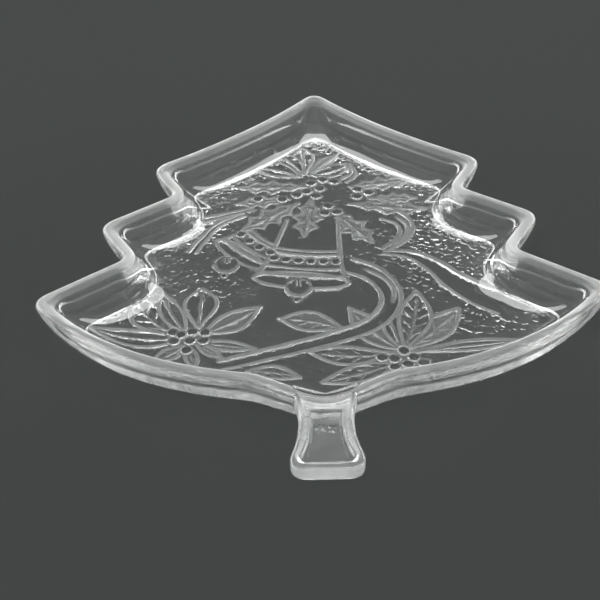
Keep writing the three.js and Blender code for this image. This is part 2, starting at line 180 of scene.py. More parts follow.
@dataclass
class TreePlan:
    """Outline of the tree at any inset and height."""

    apex: Corner = Corner(0.0, 147.0, 7.0, 12.0)
    right: tuple[Corner, ...] = (
        Corner(27.0, 115.6),
        Corner(69.6, 87.7, 6.5, 9.0),
        Corner(58.2, 68.1, 4.0, 11.0, 0.8),
        Corner(87.3, 48.0, 6.5, 9.0),
        Corner(73.8, 27.1, 4.0, 11.0, 0.8),
        Corner(106.6, 3.0, 6.5, 9.0),
        Corner(73.0, -33.2),
        Corner(25.0, -41.4, 4.0, 8.0),
    )
    front: Corner = Corner(0.0, -54.5, 8.0, 8.0)
    rim_height: float = 17.5
    floor_top: float = 4.5
    step: float = 1.5
    corner_steps: int = 7
    corner_share: float = 0.48
    bend_share: float = 0.98
    widen_reach: float = 6.0
    corners: list[Corner] = field(init=False)
    arc_steps: list[int] = field(init=False)
    edge_steps: list[int] = field(init=False)

    def __post_init__(self) -> None:
        """Goes once round the rim and counts the steps of each arc and edge."""
        left = [Corner(-c.x, c.y, c.rim, c.floor, c.widen) for c in self.right]
        self.corners = [self.apex, *left, self.front, *reversed(self.right)]
        arcs = self._arcs(0.0, self.rim_height)
        self.arc_steps = []
        self.edge_steps = []
        for corner, arc, after in zip(self.corners, arcs, arcs[1:] + arcs[:1]):
            length = np.linalg.norm(arc[2] - arc[1]) + np.linalg.norm(arc[1] - arc[0])
            self.arc_steps.append(self.corner_steps if corner.rim else round(length / self.step))
            self.edge_steps.append(max(1, round(np.linalg.norm(after[0] - arc[2]) / self.step)))

    def _arcs(self, inset: float, z: float) -> list[np.ndarray]:
        """Rounded corners at an inset: start, corner and end point of each.

        Args:
            inset: Distance in from the outer edge of the rim.
            z: Height, which decides how round the corners are.

        Returns:
            One array of three points for each corner.
        """
        points = np.array([(c.x, c.y) for c in self.corners])
        edges = np.roll(points, -1, 0) - points
        inward = np.stack([-edges[:, 1], edges[:, 0]], 1) / np.linalg.norm(edges, axis=1)[:, None]
        before = np.roll(inward, 1, 0)
        mitre = (before + inward) / (1.0 + (before * inward).sum(1))[:, None]
        points = points + inset * mitre
        deep = np.clip((self.rim_height - z) / (self.rim_height - self.floor_top), 0.0, 1.0)
        count = len(points)

        def held(index: int, length: float) -> float:
            """Length of an edge that the rounding of its corner takes.

            Args:
                index: Place of the corner.
                length: Length of the whole edge.

            Returns:
                The length that is taken.
            """
            corner = self.corners[index]
            widened = corner.widen * min(inset, self.widen_reach)
            rounding = corner.rim + (corner.floor - corner.rim) * deep + widened
            return min(rounding, self.corner_share * length)

        arcs = []
        for index, point in enumerate(points):
            ends = []
            for other in ((index - 1) % count, (index + 1) % count):
                along = points[other] - point
                length = np.linalg.norm(along)
                reach = held(index, length)
                if not self.corners[index].rim:
                    reach = (length - held(other, length)) * self.bend_share
                ends.append(point + along / length * reach)
            arcs.append(np.array([ends[0], point, ends[1]]))
        return arcs

    def outline(self, inset: float, z: float) -> np.ndarray:
        """Outline at an inset and a height, counter-clockwise, with the same steps at every inset.

        Args:
            inset: Distance in from the outer edge of the rim.
            z: Height.

        Returns:
            Plan points.
        """
        arcs = self._arcs(inset, z)
        parts = []
        stretches = zip(arcs, arcs[1:] + arcs[:1], self.arc_steps, self.edge_steps)
        for arc, after, arc_steps, edge_steps in stretches:
            parts.append(bezier(*arc, arc_steps))
            share = np.arange(1, edge_steps)[:, None] / edge_steps
            parts.append(arc[2] + (after[0] - arc[2]) * share)
        return np.concatenate(parts)


def bezier(start: Place, middle: Place, end: Place, steps: int) -> np.ndarray:
    """Points on a quadratic curve, both ends included."""
    t = np.linspace(0.0, 1.0, steps + 1)[:, None]
    return (1 - t) ** 2 * np.array(start) + 2 * t * (1 - t) * np.array(middle) + t ** 2 * np.array(end)


@dataclass
class WallProfile:
    """Section through the wall: insets and heights from the well's floor over the lip to the underside."""

    plan: TreePlan
    rim_width: float = 4.7
    lip_radius: float = 2.1
    floor_edge: float = 21.0
    inner_belly: float = 7.5
    outer_belly: Point = (1.6, 4.6)
    base: Point = (6.8, 1.0)
    foot_outer: float = 7.8
    foot_inner: float = 9.4
    foot_end: float = 10.6
    foot_height: float = 1.5
    foot_round: float = 0.45
    foot_curve: tuple[float, float, float] = (0.32, 0.22, 0.2)
    under_edge: float = 3.0
    under_rows: tuple[float, ...] = (3.7, 4.5, 5.3, 6.1, 6.8, 7.25, 7.8, 8.6, 9.4, 9.85, 10.15, 10.6)
    edge_gap: float = 0.25
    wall_steps: int = 24
    inner_steps: int = 20
    lip_points: int = 7
    # Where the white matt shader lies on the lip and outer wall: partly a frosted finish, partly painted
    # highlight.
    wall_satin_and_glint: float = 0.5
    satin_and_glint_drop: float = 1.2
    satin_and_glint_run: float = 1.6

    def lip_start(self) -> float:
        """Height at which the lip begins to turn over."""
        return self.plan.rim_height - self.lip_radius

    def outside(self) -> np.ndarray:
        """The outer wall from the lip down to the base, as insets and heights."""
        return bezier((0.0, self.lip_start()), self.outer_belly, self.base, self.wall_steps)

    def shell(self) -> np.ndarray:
        """Section from the edge of the well's floor over the lip to where the underside begins.

        Returns:
            Insets and heights.
        """
        lip = self.lip_start()
        floor = (self.floor_edge, self.plan.floor_top)
        belly = (self.inner_belly, self.plan.floor_top)
        inner = bezier(floor, belly, (self.rim_width, lip), self.inner_steps)
        turn = np.linspace(0.0, math.pi / 2, self.lip_points)
        rise = lip + self.lip_radius * np.sin(turn)
        inside = np.stack([self.rim_width - self.lip_radius * (1 - np.cos(turn)), rise], 1)
        outside = np.stack([self.lip_radius * (1 - np.cos(turn)), rise], 1)[::-1]
        wall = self.outside()
        wall = wall[wall[:, 0] < self.under_edge - self.edge_gap]
        edge = self.under([self.under_edge])
        return np.concatenate([inner, inside[1:], outside, wall[1:], [[self.under_edge, edge[0]]]])

    def satin_and_glint(self, inset: float, z: float) -> float:
        """Share of white matt shader on the glass: most on the lip, less down the outer wall, clear inside
        the well; partly a frosted finish, partly painted highlight.

        Args:
            inset: Distance in from the outer edge of the rim.
            z: Height.

        Returns:
            A share from 0, clear, to 1.
        """
        above = z - self.lip_start()
        if inset > self.rim_width - self.lip_radius:
            return float(np.clip((above + self.satin_and_glint_drop) / self.satin_and_glint_run, 0.0, 1.0))
        share = self.wall_satin_and_glint + (1.0 - self.wall_satin_and_glint) * above / self.lip_radius
        return float(np.clip(share, self.wall_satin_and_glint, 1.0))

    def under(self, insets: Union[list[float], np.ndarray]) -> np.ndarray:
        """Height of the underside before pressing, from the outer wall over the foot to the floor.

        Args:
            insets: Distances in from the outer edge of the rim.

        Returns:
            Heights in millimetres.
        """
        outer, inner, top = self.foot_curve
        foot = np.array([
            (self.base[0] + self.foot_round, outer),
            (self.foot_outer, 0.0),
            (self.foot_inner, 0.0),
            (self.foot_inner + self.foot_round, inner),
            (self.foot_end - self.foot_round, self.foot_height - top),
            (self.foot_end, self.foot_height),
        ])
        section = np.concatenate([self.outside(), foot])
        return np.interp(insets, section[:, 0], section[:, 1])


# Relief under the floor


@dataclass(frozen=True)
class Line:
    """A raised line: its path, half its width, its height, how far in its ends fade out, and whether its
    section is a roof instead of a half-round."""

    path: np.ndarray
    half: float = 0.5
    height: float = 0.45
    fade: float = 0.0
    roof: bool = False

    def resampled(self, step: float) -> np.ndarray:
        """The path at even steps.

        Args:
            step: About the distance between points.

        Returns:
            Plan points.
        """
        lengths = np.linalg.norm(np.diff(self.path, axis=0), axis=1)
        along = np.concatenate([[0.0], np.cumsum(lengths)])
        stations = np.linspace(0.0, along[-1], max(2, int(along[-1] / step) + 1))
        return np.stack([np.interp(stations, along, self.path[:, k]) for k in (0, 1)], 1)

    def rows(self, step: float) -> np.ndarray:
        """Points along the line and beside it, where the mesh needs them.

        Args:
            step: Distance between points along the line.

        Returns:
            Plan points.
        """
        path = self.resampled(step)
        along = np.gradient(path, axis=0)
        along /= np.maximum(np.linalg.norm(along, axis=1), TINY)[:, None]
        across = np.stack([-along[:, 1], along[:, 0]], 1)
        offsets = self.half * np.array(LINE_ROWS)
        return np.concatenate([path + across * offset for offset in offsets])

    def crest(self, points: np.ndarray) -> np.ndarray:
        """Height of the line over each point.

        Args:
            points: Plan points.

        Returns:
            Heights, zero away from the line.
        """
        height = np.zeros(len(points))
        low = self.path.min(0) - self.half
        high = self.path.max(0) + self.half
        near = np.flatnonzero(((points > low) & (points < high)).all(1))
        if not len(near):
            return height
        start = self.path[:-1]
        edge = np.diff(self.path, axis=0)
        length = np.maximum(np.linalg.norm(edge, axis=1), TINY)
        reach = np.concatenate([[0.0], np.cumsum(length)])
        offset = points[near][:, None, :] - start[None]
        share = np.clip((offset * edge).sum(2) / length ** 2, 0.0, 1.0)
        distance = np.linalg.norm(offset - share[..., None] * edge, axis=2)
        nearest = distance.argmin(1)
        rows = np.arange(len(near))
        along = reach[nearest] + share[rows, nearest] * length[nearest]
        aside = distance[rows, nearest] / self.half
        if self.roof:
            swell = np.clip(1.0 - aside, 0.0, 1.0)
        else:
            swell = np.sqrt(np.clip(1.0 - aside ** 2, 0.0, 1.0))
        if self.fade:
            swell *= np.clip(np.minimum(along, reach[-1] - along) / self.fade, 0.0, 1.0)
        height[near] = self.height * swell
        return height


@dataclass(frozen=True)
class Berry:
    """A round bead of the relief."""

    x: float
    y: float
    radius: float = 2.2
    depth: float = 1.2

    def rows(self) -> np.ndarray:
        """Points on rings over the bead and round it.

        Returns:
            Plan points.
        """
        rings = [np.array([[self.x, self.y]])]
        for share, count in BEAD_RINGS:
            turn = np.arange(count) * 2 * math.pi / count + share
            ring = np.stack([np.cos(turn), np.sin(turn)], 1) * self.radius * share
            rings.append(ring + (self.x, self.y))
        return np.concatenate(rings)


def smooth_path(points: list[Point], steps: int = 10) -> np.ndarray:
    """A smooth path through the given points.

    Args:
        points: Plan points to pass through.
        steps: Points on each stretch between two of them.

    Returns:
        Plan points.
    """
    p = np.array(points, float)
    p = np.concatenate([[2 * p[0] - p[1]], p, [2 * p[-1] - p[-2]]])
    t = np.linspace(0.0, 1.0, steps, endpoint=False)[:, None]
    parts = []
    for a, b, c, d in zip(p, p[1:], p[2:], p[3:]):
        parts.append(0.5 * (2 * b + (c - a) * t + (2 * a - 5 * b + 4 * c - d) * t ** 2
                            + (3 * b - a - 3 * c + d) * t ** 3))
    return np.concatenate([*parts, p[-2:-1]])


def axis_between(start: Point, end: Point) -> tuple[np.ndarray, np.ndarray, np.ndarray, float]:
    """Axis of a figure that runs between two points.

    Args:
        start: Where the axis begins.
        end: Where it ends.

    Returns:
        The start, the direction along, the direction across to its left, and the length.
    """
    begin = np.array(start)
    run = np.array(end) - begin
    length = float(np.linalg.norm(run))
    along = run / length
    return begin, along, np.array([-along[1], along[0]]), length


class Figure:
    """One figure of the relief: what it covers, how far it swells there, and its raised lines and beads."""

    def covers(self, points: np.ndarray) -> np.ndarray:
        """Which points lie inside the figure."""
        return np.zeros(len(points), bool)

    def swell(self, points: np.ndarray) -> np.ndarray:
        """Height of the figure's body at each point."""
        return np.zeros(len(points))

    def satin_and_glint(self) -> float:
        """Share of white matt shader on the figure's body, a painted sheen."""
        return 0.0

    def lines(self) -> list[Line]:
        """Raised lines of the figure."""
        return []

    def berries(self) -> list[Berry]:
        """Beads of the figure."""
        return []


@dataclass
class Blade(Figure):
    """A petal or leaf from its base to its tip, with a raised edge, a midrib and veins."""

    base: Point
    tip: Point
    half: float
    bow: float = 0.0
    belly: float = 0.5
    spines: int = 0
    bite: float = 0.4
    rise: float = 0.3
    edge: float = 0.5
    edge_half: float = 0.95
    rib: float = 0.3
    veins: int = 3
    # Share of white matt shader on the blade's face, a painted sheen.
    face: float = 0.0
    edge_points: int = 14
    rib_points: int = 16
    rib_reach: Point = (0.02, 0.9)
    rib_half: float = 0.6
    rib_fade: float = 2.0
    vein_points: int = 7
    vein_start: float = 0.2
    vein_spread: float = 0.6
    vein_slant: float = 0.16
    vein_reach: float = 0.85
    vein_half: float = 0.45
    vein_height: float = 0.7
    vein_fade: float = 1.0

    def satin_and_glint(self) -> float:
        """Share of white matt shader on the blade's face, a painted sheen."""
        return self.face

    def _half(self, share: np.ndarray) -> np.ndarray:
        """Half the width at a share of the length.

        Args:
            share: Shares of the length.

        Returns:
            Half widths.
        """
        share = np.clip(share, 0.0, 1.0)
        power = math.log(0.5) / math.log(self.belly)
        half = self.half * np.sin(math.pi * share ** power)
        if self.spines:
            half = half * (1.0 - self.bite * np.abs(np.sin(math.pi * self.spines * share)))
        return half

    def _at(self, share: np.ndarray, across: np.ndarray) -> np.ndarray:
        """Plan points of the blade.

        Args:
            share: Shares of the length.
            across: Distances from the middle line.

        Returns:
            Plan points.
        """
        start, along, side, length = axis_between(self.base, self.tip)
        bowed = across + self.bow * 4 * share * (1 - share)
        return start + share[:, None] * length * along + bowed[:, None] * side

    def _local(self, points: np.ndarray) -> tuple[np.ndarray, np.ndarray]:
        """Where plan points lie on the blade.

        Args:
            points: Plan points.

        Returns:
            Each point's share of the length and distance from the middle line.
        """
        start, along, side, length = axis_between(self.base, self.tip)
        offset = points - start
        share = offset @ along / length
        return share, offset @ side - self.bow * 4 * share * (1 - share)

    def covers(self, points: np.ndarray) -> np.ndarray:
        """Which points lie inside the blade's outline."""
        share, across = self._local(points)
        return (share > 0) & (share < 1) & (np.abs(across) < self._half(share))

    def swell(self, points: np.ndarray) -> np.ndarray:
        """The blade's body: highest along its middle line, falling to its edge.

        Args:
            points: Plan points.

        Returns:
            Heights.
        """
        share, across = self._local(points)
        wide = np.abs(across) / np.maximum(self._half(share), THIN)
        return self.rise * np.clip(1.0 - wide ** 2, 0.0, 1.0)

    def lines(self) -> list[Line]:
        """Edges, midrib and veins.

        Returns:
            The lines.
        """
        share = np.linspace(0.0, 1.0, self.edge_points * max(2, self.spines) + 1)
        sides = [self._at(share, sign * self._half(share)) for sign in (1.0, -1.0)]
        found = [Line(side, self.edge_half, self.edge) for side in sides]
        if self.rib:
            middle = np.linspace(*self.rib_reach, self.rib_points)
            path = self._at(middle, np.zeros(self.rib_points))
            found.append(Line(path, self.rib_half, self.rib, self.rib_fade))
        for k in range(self.veins):
            root = self.vein_start + self.vein_spread * k / max(1, self.veins)
            for sign in (1.0, -1.0):
                run = np.linspace(0.0, 1.0, self.vein_points)
                reach = root + self.vein_slant * run
                across = sign * run * self.vein_reach * self._half(reach)
                height = self.vein_height * self.rib
                found.append(Line(self._at(reach, across), self.vein_half, height, self.vein_fade))
        return found


@dataclass
class Ribbon(Figure):
    """A band that follows a path, with a raised rail along each side."""

    path: list[Point]
    half: float
    end_half: float
    rise: float = 0.12
    rail: float = 0.55
    rail_half: float = 1.05
    rail_fade: float = 1.5
    centre: np.ndarray = field(init=False)

    def __post_init__(self) -> None:
        """Smooths the path."""
        self.centre = smooth_path(self.path)

    def _halves(self) -> np.ndarray:
        """Half the width at each point of the path."""
        return np.linspace(self.half, self.end_half, len(self.centre))

    def covers(self, points: np.ndarray) -> np.ndarray:
        """Which points lie on the band.

        Args:
            points: Plan points.

        Returns:
            True for each point on it.
        """
        inside = np.zeros(len(points), bool)
        reach = max(self.half, self.end_half)
        box = (points > self.centre.min(0) - reach) & (points < self.centre.max(0) + reach)
        near = np.flatnonzero(box.all(1))
        distance = np.linalg.norm(points[near][:, None] - self.centre[None], axis=2)
        nearest = distance.argmin(1)
        inside[near] = distance[np.arange(len(near)), nearest] < self._halves()[nearest]
        return inside

    def swell(self, points: np.ndarray) -> np.ndarray:
        """The band lies a little proud of the ground."""
        return np.full(len(points), self.rise)

    def lines(self) -> list[Line]:
        """The two rails.

        Returns:
            The lines.
        """
        along = np.gradient(self.centre, axis=0)
        along /= np.linalg.norm(along, axis=1)[:, None]
        across = np.stack([-along[:, 1], along[:, 0]], 1) * self._halves()[:, None]
        paths = [self.centre + sign * across for sign in (1.0, -1.0)]
        return [Line(path, self.rail_half, self.rail, self.rail_fade) for path in paths]


@dataclass
class Stroke(Figure):
    """A single raised line through a few points."""

    path: list[Point]
    half: float = 0.5
    height: float = 0.5
    fade: float = 2.0
    roof: bool = False

    def lines(self) -> list[Line]:
        """The line itself."""
        return [Line(smooth_path(self.path), self.half, self.height, self.fade, self.roof)]


@dataclass
class Bell(Figure):
    """A bell from its crown to its open mouth, with bands and a row of beads."""

    crown: Point
    mouth: Point
    half: float
    opening: float = 4.8
    beads: int = 6
    rise: float = 0.45
    bow: float = 1.2
    widths: tuple[float, float, float] = (0.58, 0.27, 0.15)
    flare: int = 6
    side_line: Point = (1.3, 1.0)
    side_points: int = 20
    bands: tuple[tuple[float, float, float], ...] = (
        (0.48, 0.95, 0.5), (0.55, 0.85, 0.45), (0.78, 0.95, 0.5), (0.9, 1.3, 0.8),
    )
    mouth_line: Point = (1.0, 0.55)
    mouth_points: int = 48
    bead_row: Point = (0.665, 0.86)
    bead_size: Point = (2.0, 1.1)

    def _frame(self) -> tuple[np.ndarray, np.ndarray, np.ndarray, float]:
        """Crown, axis direction, direction across, and length of the bell."""
        return axis_between(self.crown, self.mouth)

    def _half(self, share: np.ndarray) -> np.ndarray:
        """Half the width at a share of the length: round shoulder, waist, flared lip.

        Args:
            share: Shares of the length.

        Returns:
            Half widths.
        """
        share = np.clip(share, 0.0, 1.0)
        shoulder, taper, lip = self.widths
        return self.half * (shoulder + taper * share + lip * share ** self.flare)

    def _local(self, points: np.ndarray) -> tuple[np.ndarray, np.ndarray, np.ndarray]:
        """Where plan points lie on the bell.

        Args:
            points: Plan points.

        Returns:
            Each point's share of the length and distance across, and whether it lies in the mouth.
        """
        start, along, across, length = self._frame()
        offset = points - start
        share = offset @ along / length
        aside = offset @ across
        depth = (share - 1.0) * length
        return share, aside, (aside / self.half) ** 2 + (depth / self.opening) ** 2 < 1.0

    def covers(self, points: np.ndarray) -> np.ndarray:
        """Which points lie on the bell or in its mouth."""
        share, across, mouth = self._local(points)
        return mouth | ((share > 0) & (share < 1) & (np.abs(across) < self._half(share)))

    def swell(self, points: np.ndarray) -> np.ndarray:
        """Half-round body, with the mouth hollow.

        Args:
            points: Plan points.

        Returns:
            Heights.
        """
        share, across, mouth = self._local(points)
        wide = across / self._half(share)
        return np.where(mouth, 0.0, self.rise * np.sqrt(np.clip(1.0 - wide ** 2, 0.0, 1.0)))

    def _bowed(self, share: float, trim: float = 1.0, steps: int = 15) -> np.ndarray:
        """A line across the bell, bowed towards the mouth.

        Args:
            share: Share of the length at which it lies.
            trim: Share of the width that it covers.
            steps: Number of points.

        Returns:
            Plan points.
        """
        start, along, across, length = self._frame()
        run = np.linspace(-trim, trim, steps)
        half = self._half(np.array([share]))[0]
        depth = share * length + self.bow * (1.0 - run ** 2)
        return start + depth[:, None] * along + (run * half)[:, None] * across

    def lines(self) -> list[Line]:
        """Sides, bands and the rim of the mouth.

        Returns:
            The lines.
        """
        start, along, across, length = self._frame()
        share = np.linspace(0.0, 1.0, self.side_points)
        side = self._half(share)[:, None]
        axis = start + (share * length)[:, None] * along
        found = [Line(axis + sign * side * across, *self.side_line, roof=True) for sign in (1.0, -1.0)]
        found += [Line(self._bowed(at), half, height) for at, half, height in self.bands]
        turn = np.linspace(0.0, 2 * math.pi, self.mouth_points)[:, None]
        middle = start + length * along
        oval = middle + np.cos(turn) * self.half * across + np.sin(turn) * self.opening * along
        found.append(Line(oval, *self.mouth_line))
        return found

    def berries(self) -> list[Berry]:
        """The row of beads."""
        return [Berry(x, y, *self.bead_size) for x, y in self._bowed(*self.bead_row, self.beads)]


@dataclass
class Clapper(Figure):
    """The ball that hangs in a bell's mouth, with a thick rim on its lower side and a knob under it."""

    place: Point
    radius: float = 4.6
    rise: float = 0.45
    hang: float = -95.0
    lower_line: tuple[float, float, float] = (1.3, 1.4, 4.0)
    lower_turn: Point = (-100.0, 100.0)
    upper_line: tuple[float, float, float] = (0.5, 0.35, 1.0)
    upper_turn: Point = (90.0, 270.0)
    ring_points: int = 33
    wire_aside: float = 0.75
    wire_reach: Point = (1.2, 5.5)
    wire_line: Point = (0.4, 0.4)
    knob_reach: float = 2.9
    knob_size: Point = (1.2, 0.8)

    def covers(self, points: np.ndarray) -> np.ndarray:
        """Which points lie on the ball."""
        return np.hypot(*(points - self.place).T) < self.radius

    def swell(self, points: np.ndarray) -> np.ndarray:
        """The ball's own roundness."""
        share = np.hypot(*(points - self.place).T) / self.radius
        return self.rise * np.sqrt(np.clip(1.0 - share ** 2, 0.0, 1.0))

    def _ring(self, turn: Point) -> np.ndarray:
        """An arc of the ball's edge between two angles, in degrees from the way it hangs."""
        angle = np.radians(np.linspace(self.hang + turn[0], self.hang + turn[1], self.ring_points))
        return np.stack([np.cos(angle), np.sin(angle)], 1) * self.radius + self.place

    def lines(self) -> list[Line]:
        """The thick lower rim, the thin upper one and the two wires that the ball hangs on.

        Returns:
            The lines.
        """
        x, y = self.place
        wires = [np.array([(x + aside, y + reach) for reach in self.wire_reach])
                 for aside in (-self.wire_aside, self.wire_aside)]
        return [
            Line(self._ring(self.lower_turn), *self.lower_line, roof=True),
            Line(self._ring(self.upper_turn), *self.upper_line),
            *(Line(wire, *self.wire_line) for wire in wires),
        ]

    def berries(self) -> list[Berry]:
        """The knob under the ball.

        Returns:
            One bead.
        """
        turn = math.radians(self.hang)
        reach = self.radius + self.knob_reach
        x = self.place[0] + reach * math.cos(turn)
        y = self.place[1] + reach * math.sin(turn)
        return [Berry(x, y, *self.knob_size)]


@dataclass
class BerryCluster(Figure):
    """Berries at given places."""

    places: list[Point]
    radius: float = 2.3
    depth: float = 1.2

    def berries(self) -> list[Berry]:
        """The berries."""
        return [Berry(x, y, self.radius, self.depth) for x, y in self.places]


def relief_figures() -> list[Figure]:
    """The figures in the order in which they lie over one another, from the lowest up.

    Returns:
        The figures, in plan millimetres.
    """
    # The holly leaves' face share is a painted sheen.
    holly = {
        "spines": 4, "bite": 0.5, "belly": 0.55, "rise": 0.5,
        "edge": 0.7, "edge_half": 0.8, "veins": 2, "face": 0.26,
    }
    petal = {"edge_half": 0.8, "veins": 0}
    return [
        Blade((-27.5, -22.5), (-8.5, -25.6), 3.4, bow=1.0),
        Blade((9.0, -2.0), (-15.0, 5.8), 5.2, bow=-1.6, belly=0.6, face=0.15),
        # left poinsettia
        Blade((-52.0, -4.0), (-88.0, 3.6), 4.4, bow=2.4, belly=0.4, veins=0),
        Blade((-46.0, -6.0), (-24.0, -10.5), 2.4, veins=0),
        Blade((-46.0, -7.0), (-36.5, -14.5), 1.8, veins=0),
        Blade((-49.0, -8.0), (-46.0, -20.0), 2.2, veins=0),
        Blade((-50.0, -8.0), (-61.0, -16.0), 3.0, rise=0.6),
        Blade((-53.0, -2.0), (-71.0, 22.6), 6.0, bow=3.4, belly=0.55, veins=3),
        Blade((-50.0, -1.0), (-61.0, 22.4), 4.0, bow=1.0, **petal),
        Blade((-46.0, 0.0), (-45.5, 24.5), 6.2, belly=0.62, **petal),
        Blade((-43.5, -1.0), (-23.8, 12.5), 5.0, bow=-1.0, rise=0.5, veins=0, face=0.2),
        BerryCluster([(-55.0, -0.6), (-52.0, -2.0), (-47.8, -0.6), (-43.2, -1.2),
                      (-54.4, -5.4), (-48.4, -5.4), (-43.6, -5.4), (-49.4, -10.4)], 2.3),
        # right poinsettia
        Blade((28.0, -14.0), (-5.0, -12.4), 4.6, bow=2.2, belly=0.6),
        Blade((26.0, -20.0), (-1.0, -28.4), 4.6, bow=0.6, belly=0.45),
        Blade((30.0, -14.5), (72.0, -10.0), 2.6, bow=0.6, rise=0.6, belly=0.6, veins=0),
        Blade((28.0, -13.0), (10.8, 10.6), 5.4, bow=1.4, veins=0, face=0.15),
        Blade((29.0, -13.0), (25.5, 12.4), 3.6, bow=1.2, veins=0),
        Blade((30.0, -13.0), (51.5, 9.0), 5.2, bow=-0.8, belly=0.55, veins=2, face=0.25),
        Blade((29.0, -13.0), (36.4, 19.6), 6.0, bow=-1.6, belly=0.55, veins=4),
        BerryCluster([(21.0, -16.8), (25.4, -17.6), (29.0, -13.8), (32.2, -17.2),
                      (25.2, -22.0), (30.0, -20.8), (35.6, -20.4)], 2.3),
        # ribbons
        Ribbon([(10.0, 37.0), (20.0, 31.5), (26.2, 21.0), (25.5, 11.0), (18.5, 1.5),
                (4.0, -5.5), (-14.0, -11.5), (-38.0, -19.0)], 4.4, 2.6),
        Stroke([(16.0, 34.5), (24.5, 28.0), (28.0, 20.0), (26.5, 12.0)], 1.5, 0.95, 5.0, True),
        Ribbon([(24.5, 44.3), (36.0, 42.0), (44.0, 35.5), (51.0, 26.0), (60.0, 17.0), (70.0, 11.0)],
               0.9, 7.5),
        Ribbon([(28.0, 70.5), (35.0, 64.0), (34.5, 54.0), (25.0, 44.6)], 4.4, 1.0),
        Stroke([(31.0, 69.0), (36.2, 62.0), (34.8, 54.0), (28.0, 47.0)], 1.6, 1.0, 5.0, True),
        Ribbon([(-26.0, 76.0), (-40.0, 71.0), (-54.0, 65.6)], 1.0, 1.6),
        Ribbon([(-30.0, 72.5), (-41.0, 65.5), (-47.0, 56.0), (-51.5, 46.0)], 1.0, 1.8),
        # bells
        Bell((-12.0, 65.0), (-32.0, 45.5), 13.0, opening=4.0, beads=4),
        Clapper((-36.9, 39.2), 4.8),
        Bell((-2.4, 65.7), (-7.5, 28.0), 18.5),
        Clapper((-8.5, 23.8), 4.8),
        # top poinsettia
        Blade((-5.0, 100.0), (-6.5, 122.0), 4.8, belly=0.6, **petal),
        Blade((-5.5, 100.0), (-19.0, 118.0), 4.2, bow=-1.4, **petal),
        Blade((-7.0, 98.5), (-28.0, 107.0), 4.8, bow=-1.6, **petal),
        Blade((-3.0, 99.5), (15.0, 108.0), 4.0, bow=-1.6, **petal),
        Blade((-2.5, 101.5), (9.2, 115.2), 3.0, rise=0.7, face=0.45, **petal),
        Ribbon([(11.0, 94.0), (15.8, 99.5), (14.2, 107.5)], 1.6, 0.9),
        # holly
        Blade((-4.0, 91.0), (-34.0, 91.5), 5.0, **holly),
        Blade((14.0, 90.0), (41.0, 94.0), 4.8, **holly),
        Blade((22.0, 81.0), (42.0, 80.5), 3.8, **holly),
        Blade((13.0, 77.5), (46.0, 71.6), 5.0, **holly),
        Blade((7.0, 72.5), (21.5, 50.5), 5.8, **holly),
        Blade((-12.0, 82.0), (-34.0, 79.5), 4.2, **holly),
        Blade((-8.0, 79.0), (-31.2, 61.2), 6.2, **holly),
        Blade((-2.6, 82.0), (-6.0, 55.6), 6.2, **holly),
        BerryCluster([(-2.5, 93.0), (2.5, 95.4), (7.4, 93.8), (1.2, 88.8), (-4.4, 86.9), (-8.6, 84.6),
                      (-0.6, 83.4), (-14.8, 81.8), (-25.0, 82.4), (17.2, 87.6), (21.8, 85.0), (16.8, 82.4),
                      (4.4, 76.0), (8.0, 71.6), (2.8, 71.2)], 2.35),
    ]


